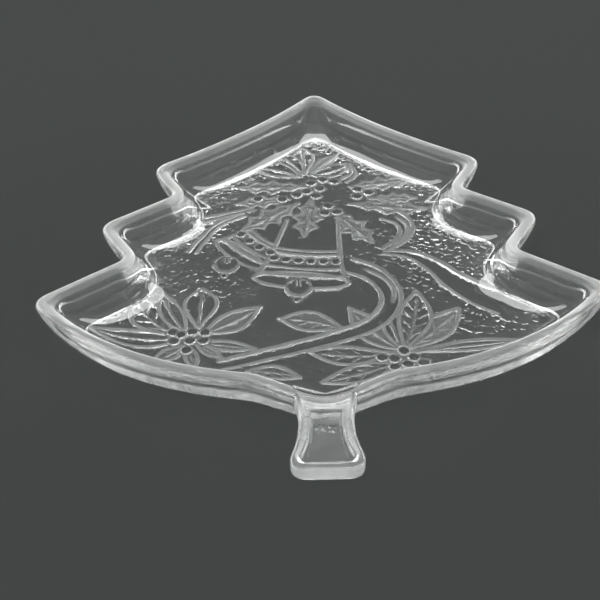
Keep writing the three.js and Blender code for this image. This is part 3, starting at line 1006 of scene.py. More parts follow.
@dataclass
class Relief:
    """The pressed relief: its height over any point, its beads, and the points that a mesh of it needs."""

    figures: list[Figure] = field(default_factory=relief_figures)
    line_step: float = 0.8
    ground_step: float = 1.35
    stipple_step: float = 0.74
    stipple_depth: float = 1.0
    stipple_patches: tuple[tuple[Point, Point], ...] = (
        ((42.0, 42.0), (24.0, 26.0)),
        ((-38.0, 27.0), (13.0, 10.0)),
        ((60.0, 3.0), (16.0, 12.0)),
        ((-45.0, 60.0), (10.0, 12.0)),
    )
    stipple_faint: float = 0.4
    grain_power: float = 3.5
    grain_seed: int = 7
    merge: float = 0.15
    # Width of the painted highlight ring round each bead, as a share of its radius, and how far out it
    # reaches.
    bead_glint_rim: float = 0.24
    bead_reach: float = 1.2
    full_ridge: float = 0.4
    smooth_edge: float = 0.8
    smooth_gain: float = 2.0
    smooth_middle: Point = (0.0, 11.0)
    smooth_reach: Point = (24.0, 11.0)

    def height(self, points: np.ndarray) -> tuple[np.ndarray, np.ndarray, np.ndarray, np.ndarray]:
        """Height of the relief, without its beads.

        Args:
            points: Plan points.

        Returns:
            How far the relief stands down at each point, how much of the ground's stipple shows there,
            how much of a raised line or painted bead-rim glint, and how much painted sheen the figure's
            body gets.
        """
        height = np.zeros(len(points))
        ridge = np.zeros(len(points))
        satin_and_glint = np.zeros(len(points))
        away = np.hypot(*((points - self.smooth_middle) / self.smooth_reach).T)
        stipple = np.clip(self.smooth_gain * (away - self.smooth_edge), 0.0, 1.0)
        for figure in self.figures:
            crest = np.zeros(len(points))
            for line in figure.lines():
                np.maximum(crest, line.crest(points), out=crest)
            inside = figure.covers(points)
            height = np.where(inside, figure.swell(points) + crest, np.maximum(height, crest))
            stipple = np.where(inside | (crest > 0.0), 0.0, stipple)
            ridge = np.where(inside, crest, np.maximum(ridge, crest))
            satin_and_glint = np.where(inside, figure.satin_and_glint(), satin_and_glint)
        ridge = np.clip(ridge / self.full_ridge, 0.0, 1.0)
        # Painted highlight: a bright ring round each bead.
        self.paint_bead_rim_glints(points, ridge, satin_and_glint)
        return height, stipple, ridge, satin_and_glint

    def paint_bead_rim_glints(self, points: np.ndarray, ridge: np.ndarray, satin_and_glint: np.ndarray) -> None:
        """Paints a highlight ring round each bead, marked like a raised line for the white matt shader, and
        clears that shader within the bead.

        Args:
            points: Plan points.
            ridge: How much of a raised line or painted bead-rim glint each point has, changed in place.
            satin_and_glint: Share of white matt shader at each point, a painted sheen, changed in place.
        """
        for berry in self.berries():
            away = np.hypot(points[:, 0] - berry.x, points[:, 1] - berry.y) / berry.radius
            on = away < self.bead_reach
            ridge[on] = np.clip(1.0 - np.abs(away[on] - 1.0) / self.bead_glint_rim, 0.0, 1.0)
            satin_and_glint[away < 1.0 - self.bead_glint_rim] = 0.0

    def grit(self, points: np.ndarray) -> np.ndarray:
        """How rough the stipple is: faint all over, strong in its patches.

        Args:
            points: Plan points.

        Returns:
            Depths in millimetres.
        """
        strong = np.zeros(len(points))
        for middle, reach in self.stipple_patches:
            away = np.hypot(*((points - middle) / reach).T)
            np.maximum(strong, np.exp(-away ** 2), out=strong)
        grains = np.random.default_rng(self.grain_seed).random(len(points)) ** self.grain_power
        return self.stipple_depth * grains * (self.stipple_faint + (1.0 - self.stipple_faint) * strong)

    def berries(self) -> list[Berry]:
        """Every bead that no later figure hides.

        Returns:
            The beads.
        """
        found = []
        for index, figure in enumerate(self.figures):
            for berry in figure.berries():
                place = np.array([[berry.x, berry.y]])
                if not any(later.covers(place)[0] for later in self.figures[index + 1:]):
                    found.append(berry)
        return found

    def mesh_points(self, outline: np.ndarray) -> np.ndarray:
        """Points for a mesh that keeps the lines and beads crisp.

        Args:
            outline: Closed outline that the points stay in.

        Returns:
            Plan points.
        """
        kept = [berry.rows() for berry in self.berries()]
        for index, figure in enumerate(self.figures):
            for line in figure.lines():
                rows = line.rows(self.line_step)
                hidden = np.zeros(len(rows), bool)
                for later in self.figures[index + 1:]:
                    hidden |= later.covers(rows)
                kept.append(rows[~hidden])
        fine = thinned(np.concatenate(kept), self.merge)
        low, high = outline.min(0), outline.max(0)
        kept = [fine]
        for step, wanted in ((self.ground_step, False), (self.stipple_step, True)):
            ground = hexagonal(low, high, step)
            ground = ground[clear_of(ground, fine, 0.5 * step)]
            kept.append(ground[(self.height(ground)[1] > 0.5) == wanted])
        points = np.concatenate(kept)
        return points[inside_outline(points, outline)]


def hexagonal(low: np.ndarray, high: np.ndarray, step: float) -> np.ndarray:
    """Points of a hexagonal grid over a box.

    Args:
        low: Lowest corner of the box.
        high: Highest corner.
        step: Distance between points.

    Returns:
        Plan points.
    """
    xs = np.arange(low[0], high[0], step)
    ys = np.arange(low[1], high[1], step * math.sqrt(0.75))
    grid = np.stack(np.meshgrid(xs, ys), 2)
    grid[1::2, :, 0] += step / 2
    return grid.reshape(-1, 2)


def cells(points: np.ndarray, size: float) -> np.ndarray:
    """A number for the square cell that each point lies in."""
    grid = np.floor(points / size).astype(np.int64)
    return grid[:, 0] * CELL_ROW + grid[:, 1]


def thinned(points: np.ndarray, size: float) -> np.ndarray:
    """The points with only the first one left in each cell of the given size."""
    _, first = np.unique(cells(points, size), return_index=True)
    return points[np.sort(first)]


def clear_of(points: np.ndarray, others: np.ndarray, size: float) -> np.ndarray:
    """Which points have none of the others in their own cell or those around it.

    Args:
        points: Plan points to test.
        others: Plan points to keep clear of.
        size: Size of a cell.

    Returns:
        True for each point that is clear.
    """
    taken = np.unique(cells(others, size))
    clear = np.ones(len(points), bool)
    for dx in (-size, 0.0, size):
        for dy in (-size, 0.0, size):
            clear &= ~np.isin(cells(points + (dx, dy), size), taken)
    return clear


def inside_outline(points: np.ndarray, outline: np.ndarray) -> np.ndarray:
    """Which points lie inside a closed outline.

    Args:
        points: Plan points.
        outline: Corners of the outline in order.

    Returns:
        True for each point inside.
    """
    inside = np.zeros(len(points), bool)
    x, y = points.T
    for (xa, ya), (xb, yb) in zip(outline, np.roll(outline, -1, 0)):
        if ya != yb:
            inside ^= ((ya > y) != (yb > y)) & (x < (xb - xa) * (y - ya) / (yb - ya) + xa)
    return inside


def distance_to(points: np.ndarray, outline: np.ndarray) -> np.ndarray:
    """Distance from each point to the nearest corner of an outline.

    Args:
        points: Plan points, worked through in blocks to save memory.
        outline: Corners of the outline.

    Returns:
        Distances.
    """
    found = np.empty(len(points))
    for start in range(0, len(points), BLOCK):
        block = points[start:start + BLOCK]
        found[start:start + BLOCK] = np.linalg.norm(block[:, None] - outline[None], axis=2).min(1)
    return found


# Finishes


@dataclass(frozen=True)
class PressedGlass:
    """Clear pressed glass: fire-polished, faintly wavy, stippled on the ground of the relief, with a white
    matt shader mixed in that is partly a frosted finish and partly painted highlight.
    """

    colour: tuple[float, float, float] = (0.975, 0.988, 0.982)
    clear: tuple[float, float, float] = (0.99, 0.995, 0.992)
    # White matt shader: partly a frosted finish on the lip, wall and tab, partly painted highlight there,
    # and painted glint on the relief's lines, bead rims and leaf faces.
    satin_and_glint: tuple[float, float, float] = (0.88, 0.91, 0.9)
    satin_and_glint_rough: float = 0.55
    ior: float = 1.5
    roughness: float = 0.015
    worn: float = 0.34
    wave_size: float = 9.0
    stipple_size: float = 0.8
    grain_size: float = 0.7
    wear_size: float = 3.0
    wave_height: float = 0.05
    stipple_height: float = 0.02
    grain_height: float = 0.03
    stipple_rough: float = 0.03
    tint_wear: float = 0.5
    worn_least: float = 0.8
    worn_wear: float = 0.4
    # Mottling of the white matt shader: partly a frosted finish, partly painted highlight.
    frost_and_glint_least: float = 0.3
    frost_and_glint_specks: float = 0.9
    frost_and_glint_wear: float = 0.5

    def material(self) -> bpy.types.Material:
        """Builds the material.

        Returns:
            A glass that reads the mesh's stipple, grain and frost attributes; the last mixes in a white
            matt shader, partly a frosted finish and partly painted highlight and glint.
        """
        made = bpy.data.materials.new("pressed_glass")
        made.use_nodes = True
        graph = Graph(made.node_tree)
        place = graph.node("ShaderNodeTexCoord", output="Object")

        def noise(size: float, detail: float) -> Value:
            """Noise whose features have the given size in millimetres."""
            return graph.node("ShaderNodeTexNoise", None, {
                "Vector": place, "Scale": 1.0 / (size * MM), "Detail": detail,
            })

        def attribute(name: Attribute) -> Value:
            """One of the mesh's own values."""
            return graph.node("ShaderNodeAttribute", {"attribute_name": name.value}, output="Fac")

        stipple = attribute(Attribute.STIPPLE)
        grain = attribute(Attribute.GRAIN)
        dots = graph.node("ShaderNodeTexVoronoi", {"feature": "F1"}, {
            "Vector": place, "Scale": 1.0 / (self.stipple_size * MM),
        })
        wave = noise(self.wave_size, 1.0)
        specks = noise(self.grain_size, 2.0)
        wear = noise(self.wear_size, 3.0)
        pits = dots * stipple * self.stipple_height
        height = wave * self.wave_height + pits + specks * grain * self.grain_height
        bump = graph.node("ShaderNodeBump", None, {"Strength": 1.0, "Distance": MM, "Height": height},
                          output="Normal")
        tint = graph.node("ShaderNodeMix", {"data_type": "RGBA"}, {
            0: wear * self.tint_wear,
            6: (*self.colour, 1.0),
            7: (*self.clear, 1.0),
        }, output=2)
        worn = grain * self.worn * (wear * self.worn_wear + self.worn_least)
        rough = worn + stipple * self.stipple_rough + self.roughness
        glass = graph.node("ShaderNodeBsdfPrincipled", None, {
            "Base Color": tint, "Roughness": rough, "IOR": self.ior,
            "Transmission Weight": 1.0, "Normal": bump,
        })
        # Mix of the white matt shader, mottled by noise: partly a frosted finish, partly painted highlight
        # and glint.
        uneven = specks * self.frost_and_glint_specks + wear * self.frost_and_glint_wear + self.frost_and_glint_least
        frost = attribute(Attribute.FROST_AND_GLINT) * uneven
        satin_and_glint = graph.node("ShaderNodeBsdfPrincipled", None, {
            "Base Color": (*self.satin_and_glint, 1.0), "Roughness": self.satin_and_glint_rough,
            "IOR": self.ior, "Normal": bump,
        })
        mixed = graph.node("ShaderNodeMixShader", None, {0: frost, 1: glass, 2: satin_and_glint})
        graph.node("ShaderNodeOutputMaterial", None, {"Surface": mixed})
        return made


# The dish


def ring_at(plan: np.ndarray, z: float) -> np.ndarray:
    """A plan outline at one height."""
    return np.column_stack([plan, np.full(len(plan), z)])


def band_faces(levels: int, count: int, upward: bool) -> list[tuple[int, ...]]:
    """Four-sided faces between rings of points.

    Args:
        levels: Number of rings, stored one after another.
        count: Points of each ring.
        upward: Whether the rings begin with the outside going up, or else with the inside.

    Returns:
        The faces, turned outwards.
    """
    faces = []
    for start in range(0, (levels - 1) * count, count):
        for i in range(count):
            a, b = start + i, start + (i + 1) % count
            faces.append((a, b, b + count, a + count) if upward else (a, a + count, b + count, b))
    return faces


@dataclass
class TrunkTab:
    """The trunk: a necked and flared tab at rim height with a recess between its rails."""

    end_y: float = -80.0
    neck_y: float = -59.5
    root_y: float = -46.0
    root_half: float = 11.2
    neck_half: float = 9.0
    end_half: float = 14.6
    corner: float = 6.4
    thickness: float = 7.0
    top: float = 17.48
    edge: float = 1.8
    rail: float = 3.9
    recess_start: float = -55.6
    recess_depth: float = 3.0
    recess_corner: float = 2.4
    root_vee: float = 0.43
    root_point: float = -48.4
    tilt_start: float = -63.0
    tilt: float = 0.06
    bed_fall: float = 0.05
    upper_level: int = 6
    recess_level: int = 12
    foot_level: int = 18
    bed_level: int = 24
    steps: int = 32
    arc_steps: int = 7
    edge_points: int = 6
    lip: float = 0.9
    rail_foot: float = 0.5
    bed_insets: tuple[float, ...] = (0.5, 1.0, 1.5, 2.0, 2.5, 3.0, 3.4)
    recess_drop: float = 1.2
    recess_draw: float = 0.18
    corner_share: float = 0.8
    corner_bulge: float = 0.5
    tilt_ease: float = 3.0
    rough_start: float = -63.0
    rough_run: float = 2.0
    bed_rough: float = 0.22
    bed_seed: int = 11
    grain_ends: Point = (-70.0, -64.0)
    grain: Point = (0.3, 0.8)
    # Share of white matt shader on the tab outside its recess: partly a frosted finish, partly painted
    # highlight.
    frost: float = 0.13

    def half(self, y: np.ndarray) -> np.ndarray:
        """Half the width at a plan y: drawn in to the neck, flared to the end.

        Args:
            y: Plan y of each station.

        Returns:
            Half widths.
        """
        up = np.clip((y - self.neck_y) / (self.root_y - self.neck_y), 0.0, None)
        down = np.clip((y - self.neck_y) / (self.end_y - self.neck_y), 0.0, None)
        to_root = (self.root_half - self.neck_half) * up ** 2
        to_end = (self.end_half - self.neck_half) * down ** 2
        return self.neck_half + (to_root + to_end)

    def outline(self, inset: float, inner: float) -> np.ndarray:
        """Outline of the tab seen from above, counter-clockwise.

        Args:
            inset: Distance in from the tab's sides.
            inner: 0 for a start hidden in the rim, 1 for the start of the recess.

        Returns:
            Plan points.
        """
        corner = self.corner + (self.recess_corner - self.corner) * inner
        end = self.end_y + inset * (1.0 - self.recess_draw * inner)
        wide = self.half(np.array([end + self.corner_share * corner]))[0] + self.corner_bulge - inset
        hidden = self.root_point + self.root_vee * (self.root_half - inset)
        start = hidden + (self.recess_start - hidden) * inner
        y = np.linspace(start, end + corner, self.steps + 1)
        x = self.half(y) - inset
        arc = bezier((-x[-1], y[-1]), (-wide, end), (corner - wide, end), self.arc_steps)
        left = np.concatenate([np.stack([-x, y], 1), arc[1:]])
        middle = self.root_point + (self.recess_start - self.root_point) * inner
        back = np.array([[0.0, middle]])
        return np.concatenate([back, left, left[::-1] * (-1, 1)])

    def levels(self) -> list[tuple[float, float, float]]:
        """Section of the tab from the bottom over the rails to the bed of the recess.

        Returns:
            Inset, share of the recess's start, and height of each ring.
        """
        turns = np.linspace(0.0, math.pi / 2, self.edge_points)
        rounds = [(1 - math.sin(a), 1 - math.cos(a), math.sin(a)) for a in turns]
        edge, lip = self.edge, self.lip
        bottom = self.top - self.thickness
        floor = self.top - self.recess_depth
        inner = self.rail + self.rail_foot
        lower = [(edge * sin_in, 0.0, bottom + edge * cos_in) for sin_in, cos_in, _ in rounds]
        upper = [(edge * cos_in, 0.0, self.top - edge * sin_in) for sin_in, cos_in, _ in rounds]
        crest = [(self.rail - lip + lip * sin, 1.0, self.top - lip * cos_in) for _, cos_in, sin in rounds]
        foot = [(inner + lip * cos_in, 1.0, floor + lip * sin_in) for sin_in, cos_in, _ in rounds]
        bed = [(inner + lip + inset, 1.0, floor) for inset in self.bed_insets]
        return [*lower, *upper, *crest, *foot, *bed]

    def mesh(self) -> bpy.types.Object:
        """The tab as a closed mesh in plan millimetres turned to metres.

        Returns:
            The object, for joining to the bowl.
        """
        rings = [ring_at(self.outline(inset, inner), z) for inset, inner, z in self.levels()]
        count = len(rings[0])
        faces = [tuple(reversed(range(count))), *band_faces(len(rings), count, True)]
        faces.append(tuple(range((len(rings) - 1) * count, len(rings) * count)))
        points = np.concatenate(rings)
        level = np.repeat(np.arange(len(rings)), count)
        recess = (level >= self.recess_level) & (points[:, 2] < self.top - self.recess_drop)
        past = np.maximum(self.tilt_start - points[:, 1], 0.0)
        tilted = (level >= self.upper_level) & (level < self.foot_level)
        points[:, 2] -= tilted * self.tilt * past ** 2 / (past + self.tilt_ease)
        points[:, 2] -= (level >= self.foot_level) * self.bed_fall * (points[:, 1] - self.end_y)
        share = np.clip((points[:, 1] - self.rough_start) / self.rough_run, 0.0, 1.0)
        rough = (level >= self.bed_level) * share
        random = np.random.default_rng(self.bed_seed)
        points[:, 2] += rough * random.uniform(-self.bed_rough, self.bed_rough, len(points))
        made = mesh_object("trunk_tab", points, faces)
        add_values(made.data, Attribute.RELIEF, np.zeros(len(points)))
        add_values(made.data, Attribute.STIPPLE, rough)
        grain = np.interp(points[:, 1], self.grain_ends, self.grain)
        add_values(made.data, Attribute.GRAIN, np.where(recess, 0.0, grain))
        add_values(made.data, Attribute.FROST_AND_GLINT, np.where(recess, 0.0, self.frost))
        return made


def plan_shift() -> float:
    """Plan y that lies over the frame's origin, in millimetres."""
    low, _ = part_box("trunk_handle")
    return TrunkTab().end_y - low[1] / MM


def mesh_object(name: str, vertices: np.ndarray, faces: list[tuple[int, ...]]) -> bpy.types.Object:
    """An object from plan millimetres.

    Args:
        name: Name of the object and its mesh.
        vertices: Points in plan millimetres.
        faces: Faces by their points.

    Returns:
        The object, linked to the scene.
    """
    mesh = bpy.data.meshes.new(name)
    placed = (vertices - (0.0, plan_shift(), 0.0)) * MM
    mesh.from_pydata(placed.tolist(), [], faces)
    mesh.update()
    made = bpy.data.objects.new(name, mesh)
    bpy.context.scene.collection.objects.link(made)
    return made


def add_values(mesh: bpy.types.Mesh, name: Attribute, values: np.ndarray) -> None:
    """Stores one number a point on a mesh."""
    layer = mesh.attributes.new(name.value, "FLOAT", "POINT")
    layer.data.foreach_set("value", values.astype(np.float32))


@dataclass
class GlassDish:
    """The whole dish as one pressing of glass."""

    plan: TreePlan = field(default_factory=TreePlan)
    relief: Relief = field(default_factory=Relief)
    tab: TrunkTab = field(default_factory=TrunkTab)
    glass: PressedGlass = PressedGlass()
    depth: float = 0.9
    deepest: float = 1.3
    moat: float = 0.35
    crease: float = 62.0
    ring_clear: float = 0.3
    merge: float = 1e-5
    stipple_start: float = 10.5
    press_insets: tuple[float, ...] = (4.0, 5.0, 6.4, 7.0, 10.2, 10.6)
    press_shares: tuple[float, ...] = (0.0, 1.6, 1.6, 0.0, 0.0, 1.0)
    # Shares of white matt shader: on the lip and wall partly a frosted finish and partly painted highlight,
    # on the relief's raised lines a painted glint.
    lip_frost_and_glint: float = 0.16
    painted_line_glint: float = 0.4
    profile: WallProfile = field(init=False)

    def __post_init__(self) -> None:
        """Ties the wall's section to the plan."""
        self.profile = WallProfile(self.plan)

    def underside(self) -> tuple[np.ndarray, np.ndarray, dict[int, int], np.ndarray]:
        """Triangles of the underside within the edge where the shell ends.

        Returns:
            Points with heights before pressing, triangles, places of the edge's points, and the insets.
        """
        insets = [self.profile.under_edge, *self.profile.under_rows]
        rings = [self.plan.outline(inset, float(self.profile.under([inset])[0])) for inset in insets]
        count = len(rings[0])
        pressed = self.relief.mesh_points(rings[0])
        taken = np.concatenate(rings)
        points = np.concatenate([taken, pressed[clear_of(pressed, taken, self.ring_clear)]])
        edges = [(start + i, start + (i + 1) % count)
                 for start in range(0, len(taken), count) for i in range(count)]
        border = [list(range(count))]
        found = delaunay_2d_cdt([Vector(p) for p in points], edges, border, 1, self.merge, True)
        plan = np.array([tuple(p) for p in found[0]])
        at_edge = {old: new for new, olds in enumerate(found[3]) for old in olds if old < count}
        depth_in = self.inset_of(plan, insets, rings)
        LOG.info("underside: %d points", len(plan))
        z = self.profile.under(depth_in)
        triangles = np.array(found[2])
        triangles = triangles[inside_outline(plan[triangles].mean(1), rings[0])]
        return np.column_stack([plan, z]), triangles, at_edge, depth_in

    @staticmethod
    def inset_of(points: np.ndarray, insets: list[float], rings: list[np.ndarray]) -> np.ndarray:
        """Inset of each plan point, read between nested outlines.

        Args:
            points: Plan points.
            insets: Insets of the outlines, growing.
            rings: The outlines.

        Returns:
            Insets, the largest one inside the last outline.
        """
        inside = np.stack([inside_outline(points, ring) for ring in rings])
        level = np.clip(inside.sum(0) - 1, 0, len(rings) - 1)
        result = np.array(insets)[level]
        for k in range(len(rings) - 1):
            between = np.flatnonzero(level == k)
            if len(between):
                outer = distance_to(points[between], rings[k])
                inner = distance_to(points[between], rings[k + 1])
                share = outer / np.maximum(outer + inner, TINY)
                result[between] = insets[k] + (insets[k + 1] - insets[k]) * share
        return result

    def bowl(self) -> bpy.types.Object:
        """The bowl before pressing, with its relief stored as an attribute.

        Returns:
            One closed mesh.
        """
        section = self.profile.shell()
        rings = [ring_at(self.plan.outline(inset, z), z) for inset, z in section]
        count = len(rings[0])
        shell = np.concatenate(rings)
        faces = [tuple(range(count)), *band_faces(len(rings), count, False)]
        under, triangles, at_edge, depth_in = self.underside()
        where = np.arange(len(under)) + len(shell)
        last = (len(rings) - 1) * count
        for old, new in at_edge.items():
            where[new] = last + old
        faces += [tuple(int(where[i]) for i in reversed(face)) for face in triangles]
        height, stipple, ridge, face = self.relief.height(under[:, :2])
        press = np.interp(depth_in, self.press_insets, self.press_shares)
        stipple = stipple * (depth_in > self.stipple_start)
        height = height * press + stipple * self.relief.grit(under[:, :2])
        made = mesh_object("glass_dish", np.concatenate([shell, under]), faces)
        # The lip's share sets both the grain's roughness and the white matt shader, partly a frosted finish
        # and partly painted highlight.
        lip = np.repeat([self.profile.satin_and_glint(inset, z) for inset, z in section], count)
        none = np.zeros(len(shell))
        add_values(made.data, Attribute.RELIEF, np.concatenate([none, height * MM]))
        add_values(made.data, Attribute.STIPPLE, np.concatenate([none, stipple]))
        wall = (self.profile.under_edge, self.profile.base[0])
        satin_and_glint = np.interp(depth_in, wall, (self.profile.wall_satin_and_glint, 0.0))
        add_values(made.data, Attribute.GRAIN, np.concatenate([lip, satin_and_glint]))
        # Painted glint on raised lines and bead rims, painted sheen on the figures' faces.
        figures = np.maximum(self.painted_line_glint * ridge, face) * (press > 0.5)
        frost = np.maximum(self.lip_frost_and_glint * satin_and_glint, figures)
        add_values(made.data, Attribute.FROST_AND_GLINT, np.concatenate([self.lip_frost_and_glint * lip, frost]))
        self.drop_loose(made.data)
        return made

    @staticmethod
    def drop_loose(mesh: bpy.types.Mesh) -> None:
        """Deletes points that no face uses.

        Args:
            mesh: The mesh, changed in place.
        """
        work = bmesh.new()
        work.from_mesh(mesh)
        loose = [v for v in work.verts if not v.link_faces]
        bmesh.ops.delete(work, geom=loose, context="VERTS")
        work.to_mesh(mesh)
        work.free()

    def bead_points(self) -> bpy.types.Object:
        """Middles of the beads with their radii and depths.

        Returns:
            An object of loose points.
        """
        berries = self.relief.berries()
        places = np.array([(b.x, b.y, self.profile.foot_height) for b in berries])
        made = mesh_object("bead_points", places, [])
        add_values(made.data, Attribute.RADIUS, np.array([b.radius * MM for b in berries]))
        add_values(made.data, Attribute.DEPTH, np.array([b.depth * MM for b in berries]))
        return made

    def press_tree(self) -> bpy.types.NodeTree:
        """Geometry Nodes that press the relief and its beads into the underside and join the trunk.

        Returns:
            The tree.
        """
        tree = bpy.data.node_groups.new("press_glass", "GeometryNodeTree")
        for name, kind in (("Geometry", "NodeSocketGeometry"), ("Beads", "NodeSocketObject"),
                           ("Trunk", "NodeSocketObject"), ("Relief depth", "NodeSocketFloat"),
                           ("Deepest", "NodeSocketFloat"), ("Moat round beads", "NodeSocketFloat"),
                           ("Glass", "NodeSocketMaterial")):
            tree.interface.new_socket(name, in_out="INPUT", socket_type=kind)
        tree.interface.new_socket("Geometry", in_out="OUTPUT", socket_type="NodeSocketGeometry")
        graph = Graph(tree)
        given = tree.nodes.new("NodeGroupInput")

        def entry(name: str) -> Value:
            """One of the tree's inputs."""
            return Value(graph, given.outputs[name])

        def named(attribute: Attribute) -> Value:
            """A stored value of the geometry that is being worked on."""
            name = {"Name": attribute.value}
            return graph.node("GeometryNodeInputNamedAttribute", {"data_type": "FLOAT"}, name)

        beads = graph.node("GeometryNodeObjectInfo", None, {"Object": entry("Beads")}, "Geometry")
        trunk = graph.node("GeometryNodeObjectInfo", None, {"Object": entry("Trunk")}, "Geometry")
        here = graph.node("GeometryNodeInputPosition")
        nearest = graph.node("GeometryNodeSampleNearest", {"domain": "POINT"}, {
            "Geometry": beads, "Sample Position": here,
        })

        def of_bead(kind: str, value: Value) -> Value:
            """A value of the nearest bead."""
            return graph.node("GeometryNodeSampleIndex", {"data_type": kind, "domain": "POINT"}, {
                "Geometry": beads, "Value": value, "Index": nearest,
            })

        middle = of_bead("FLOAT_VECTOR", graph.node("GeometryNodeInputPosition"))
        radius = of_bead("FLOAT", named(Attribute.RADIUS))
        depth = of_bead("FLOAT", named(Attribute.DEPTH))
        away = graph.node("ShaderNodeVectorMath", {"operation": "DISTANCE"}, {0: here, 1: middle}, "Value")
        share = away / radius
        cap = depth * (1.0 - share * share).maths("MAXIMUM", 0.0).maths("SQRT")
        ground = named(Attribute.RELIEF)
        moat = ((share - 1.0) / entry("Moat round beads")).maths("MAXIMUM", 0.0).maths("MINIMUM", 1.0)
        kept = ground * moat * entry("Relief depth")
        pressed = kept.maths("MINIMUM", entry("Deepest")).maths("MAXIMUM", cap)
        down = graph.node("ShaderNodeCombineXYZ", None, {"Z": pressed * -1.0})
        under = graph.node("GeometryNodeSetPosition", None, {"Geometry": entry("Geometry"), "Offset": down})
        union = graph.node("GeometryNodeMeshBoolean", {"operation": "UNION", "solver": "MANIFOLD"})
        joined = union.socket.node.inputs["Mesh 2"]
        for part in (trunk, under):
            tree.links.new(part.socket, joined)
        smooth = graph.node("GeometryNodeSetShadeSmooth", None, {"Geometry": union})
        whole = graph.node("GeometryNodeRealizeInstances", None, {"Geometry": smooth})
        dressed = graph.node("GeometryNodeSetMaterial", None, {
            "Geometry": whole, "Material": entry("Glass"),
        })
        graph.node("NodeGroupOutput", None, {"Geometry": dressed})
        return tree

    def build(self) -> bpy.types.Object:
        """Builds the dish.

        Returns:
            The finished piece.
        """
        bowl = self.bowl()
        beads = self.bead_points()
        trunk = self.tab.mesh()
        press = bowl.modifiers.new("press", "NODES")
        press.node_group = self.press_tree()
        chosen = {
            "Beads": beads, "Trunk": trunk, "Relief depth": self.depth, "Deepest": self.deepest * MM,
            "Moat round beads": self.moat, "Glass": self.glass.material(),
        }
        for item in press.node_group.interface.items_tree:
            if item.in_out == "INPUT" and item.name in chosen:
                press[item.identifier] = chosen[item.name]
        evaluated = bowl.evaluated_get(bpy.context.evaluated_depsgraph_get())
        whole = bpy.data.meshes.new_from_object(evaluated)
        bowl.modifiers.remove(press)
        bowl.data = whole
        whole.set_sharp_from_angle(angle=math.radians(self.crease))
        for helper in (beads, trunk):
            bpy.data.objects.remove(helper)
        return bowl


# Studio


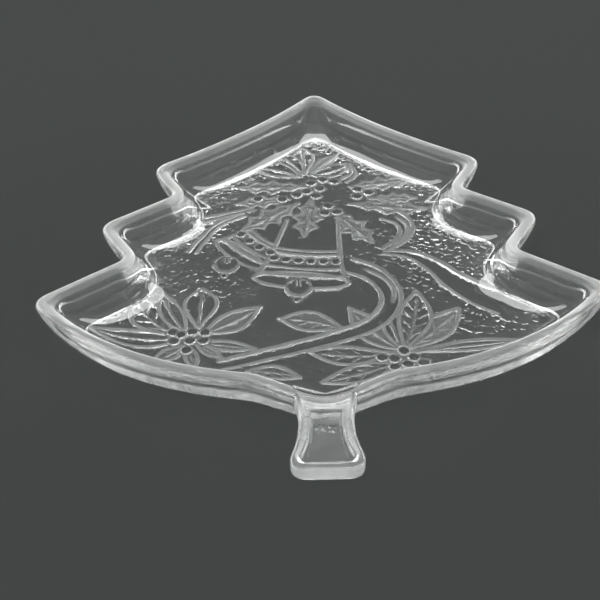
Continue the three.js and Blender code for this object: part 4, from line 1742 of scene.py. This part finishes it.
@dataclass
class Studio:
    """Dark floor, soft light and the camera at the photograph's angle."""

    plane_z: float = 16.3
    aim: Point = (-7.84, 0.31)
    toward_camera: tuple[float, float, float] = (0.0093, -0.7603, 0.6494)
    distance: float = 404.33
    roll: float = 1.9825
    view: float = 30.0
    floor_colour: tuple[float, float, float] = (0.078, 0.085, 0.083)
    floor_reach: float = 6.0
    floor_gap: float = 0.0002
    sky: float = 0.46
    tent: float = 15.0
    band_rise: Point = (0.05, 0.09)
    band_fall: Point = (0.15, 0.22)
    front_fade: Point = (-0.7, 0.1)
    front_least: float = 0.08
    bounces: int = 24
    glossy_bounces: int = 16

    def camera(self) -> None:
        """Places the camera."""
        aim = Vector((self.aim[0], self.aim[1] - plan_shift(), self.plane_z)) * MM
        back = Vector(self.toward_camera).normalized()
        data = bpy.data.cameras.new("camera")
        data.sensor_fit = "HORIZONTAL"
        data.angle = math.radians(self.view)
        data.clip_start = 0.01
        made = bpy.data.objects.new("camera", data)
        roll = Quaternion((0.0, 0.0, 1.0), math.radians(-self.roll))
        turn = (-back).to_track_quat("-Z", "Y") @ roll
        made.rotation_mode = "QUATERNION"
        made.rotation_quaternion = turn
        made.location = aim + back * self.distance * MM
        bpy.context.scene.collection.objects.link(made)
        bpy.context.scene.camera = made

    def softbox(
        self,
        name: str,
        place: tuple[float, float, float],
        size: Point,
        power: float,
        gloss_only: bool = False,
    ) -> None:
        """Adds a soft light that points at the dish.

        Args:
            name: Name of the light.
            place: Where it hangs, in metres.
            size: Its width and height in metres.
            power: Its power in watts.
            gloss_only: Whether it shows only as a gloss on the glass and lights no matt surface.
        """
        data = bpy.data.lights.new(name, "AREA")
        data.shape = "RECTANGLE"
        data.size, data.size_y = size
        data.energy = power
        made = bpy.data.objects.new(name, data)
        made.location = place
        made.rotation_euler = (-Vector(place)).to_track_quat("-Z", "Y").to_euler()
        made.visible_diffuse = not gloss_only
        made.visible_transmission = not gloss_only
        bpy.context.scene.collection.objects.link(made)

    def floor(self) -> None:
        """Adds the floor."""
        mesh = bpy.data.meshes.new("floor")
        reach = self.floor_reach
        corners = [(-reach, -reach, 0), (reach, -reach, 0), (reach, reach, 0), (-reach, reach, 0)]
        mesh.from_pydata(corners, [], [(0, 1, 2, 3)])
        made = bpy.data.objects.new("floor", mesh)
        made.location.z = -self.floor_gap
        bpy.context.scene.collection.objects.link(made)
        material = bpy.data.materials.new("dark_floor")
        material.use_nodes = True
        graph = Graph(material.node_tree)
        matt = graph.node("ShaderNodeBsdfDiffuse", None, {"Color": (*self.floor_colour, 1.0)})
        graph.node("ShaderNodeOutputMaterial", None, {"Surface": matt})
        mesh.materials.append(material)

    def world(self) -> None:
        """Sets a light tent: an even light all round and a bright band low down, fainter at the front."""
        world = bpy.data.worlds.new("studio")
        world.use_nodes = True
        graph = Graph(world.node_tree)
        toward = graph.node("ShaderNodeTexCoord", output="Generated")
        low = graph.node("ShaderNodeSeparateXYZ", None, {"Vector": toward}, "Z")
        depth = graph.node("ShaderNodeSeparateXYZ", None, {"Vector": toward}, "Y")

        def ramp(value: Value, ends: Point) -> Value:
            """Smooth step from 0 at the first end to 1 at the second."""
            return graph.node("ShaderNodeMapRange", {"interpolation_type": "SMOOTHSTEP"}, {
                "Value": value, "From Min": ends[0], "From Max": ends[1],
            })

        band = ramp(low, self.band_rise) * (1.0 - ramp(low, self.band_fall))
        front = ramp(depth, self.front_fade) * (1.0 - self.front_least) + self.front_least
        light = graph.node("ShaderNodeBackground", None, {
            "Color": (1.0, 1.0, 1.0, 1.0), "Strength": band * front * self.tent + self.sky,
        })
        graph.node("ShaderNodeOutputWorld", None, {"Surface": light})
        bpy.context.scene.world = world

    def build(self) -> None:
        """Builds the studio."""
        scene = bpy.context.scene
        scene.view_settings.view_transform = "Standard"
        scene.cycles.max_bounces = self.bounces
        scene.cycles.glossy_bounces = self.glossy_bounces
        scene.cycles.transmission_bounces = self.bounces
        self.camera()
        self.floor()
        self.world()
        self.softbox("top_softbox", (0.0, 0.24, 0.78), (0.85, 0.45), 0.75)
        self.softbox("back_glow", (0.0, 0.45, 0.82), (0.9, 0.26), 5.5, gloss_only=True)


def main() -> None:
    """Builds the dish and its studio and reports each piece."""
    logging.basicConfig(level=logging.INFO, format="%(message)s")
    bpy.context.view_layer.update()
    Studio().build()
    dish = GlassDish().build()
    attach(dish, "root")
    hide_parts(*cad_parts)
    LOG.info("%s: %d faces", dish.name, len(dish.data.polygons))


if __name__ == "__main__":
    main()
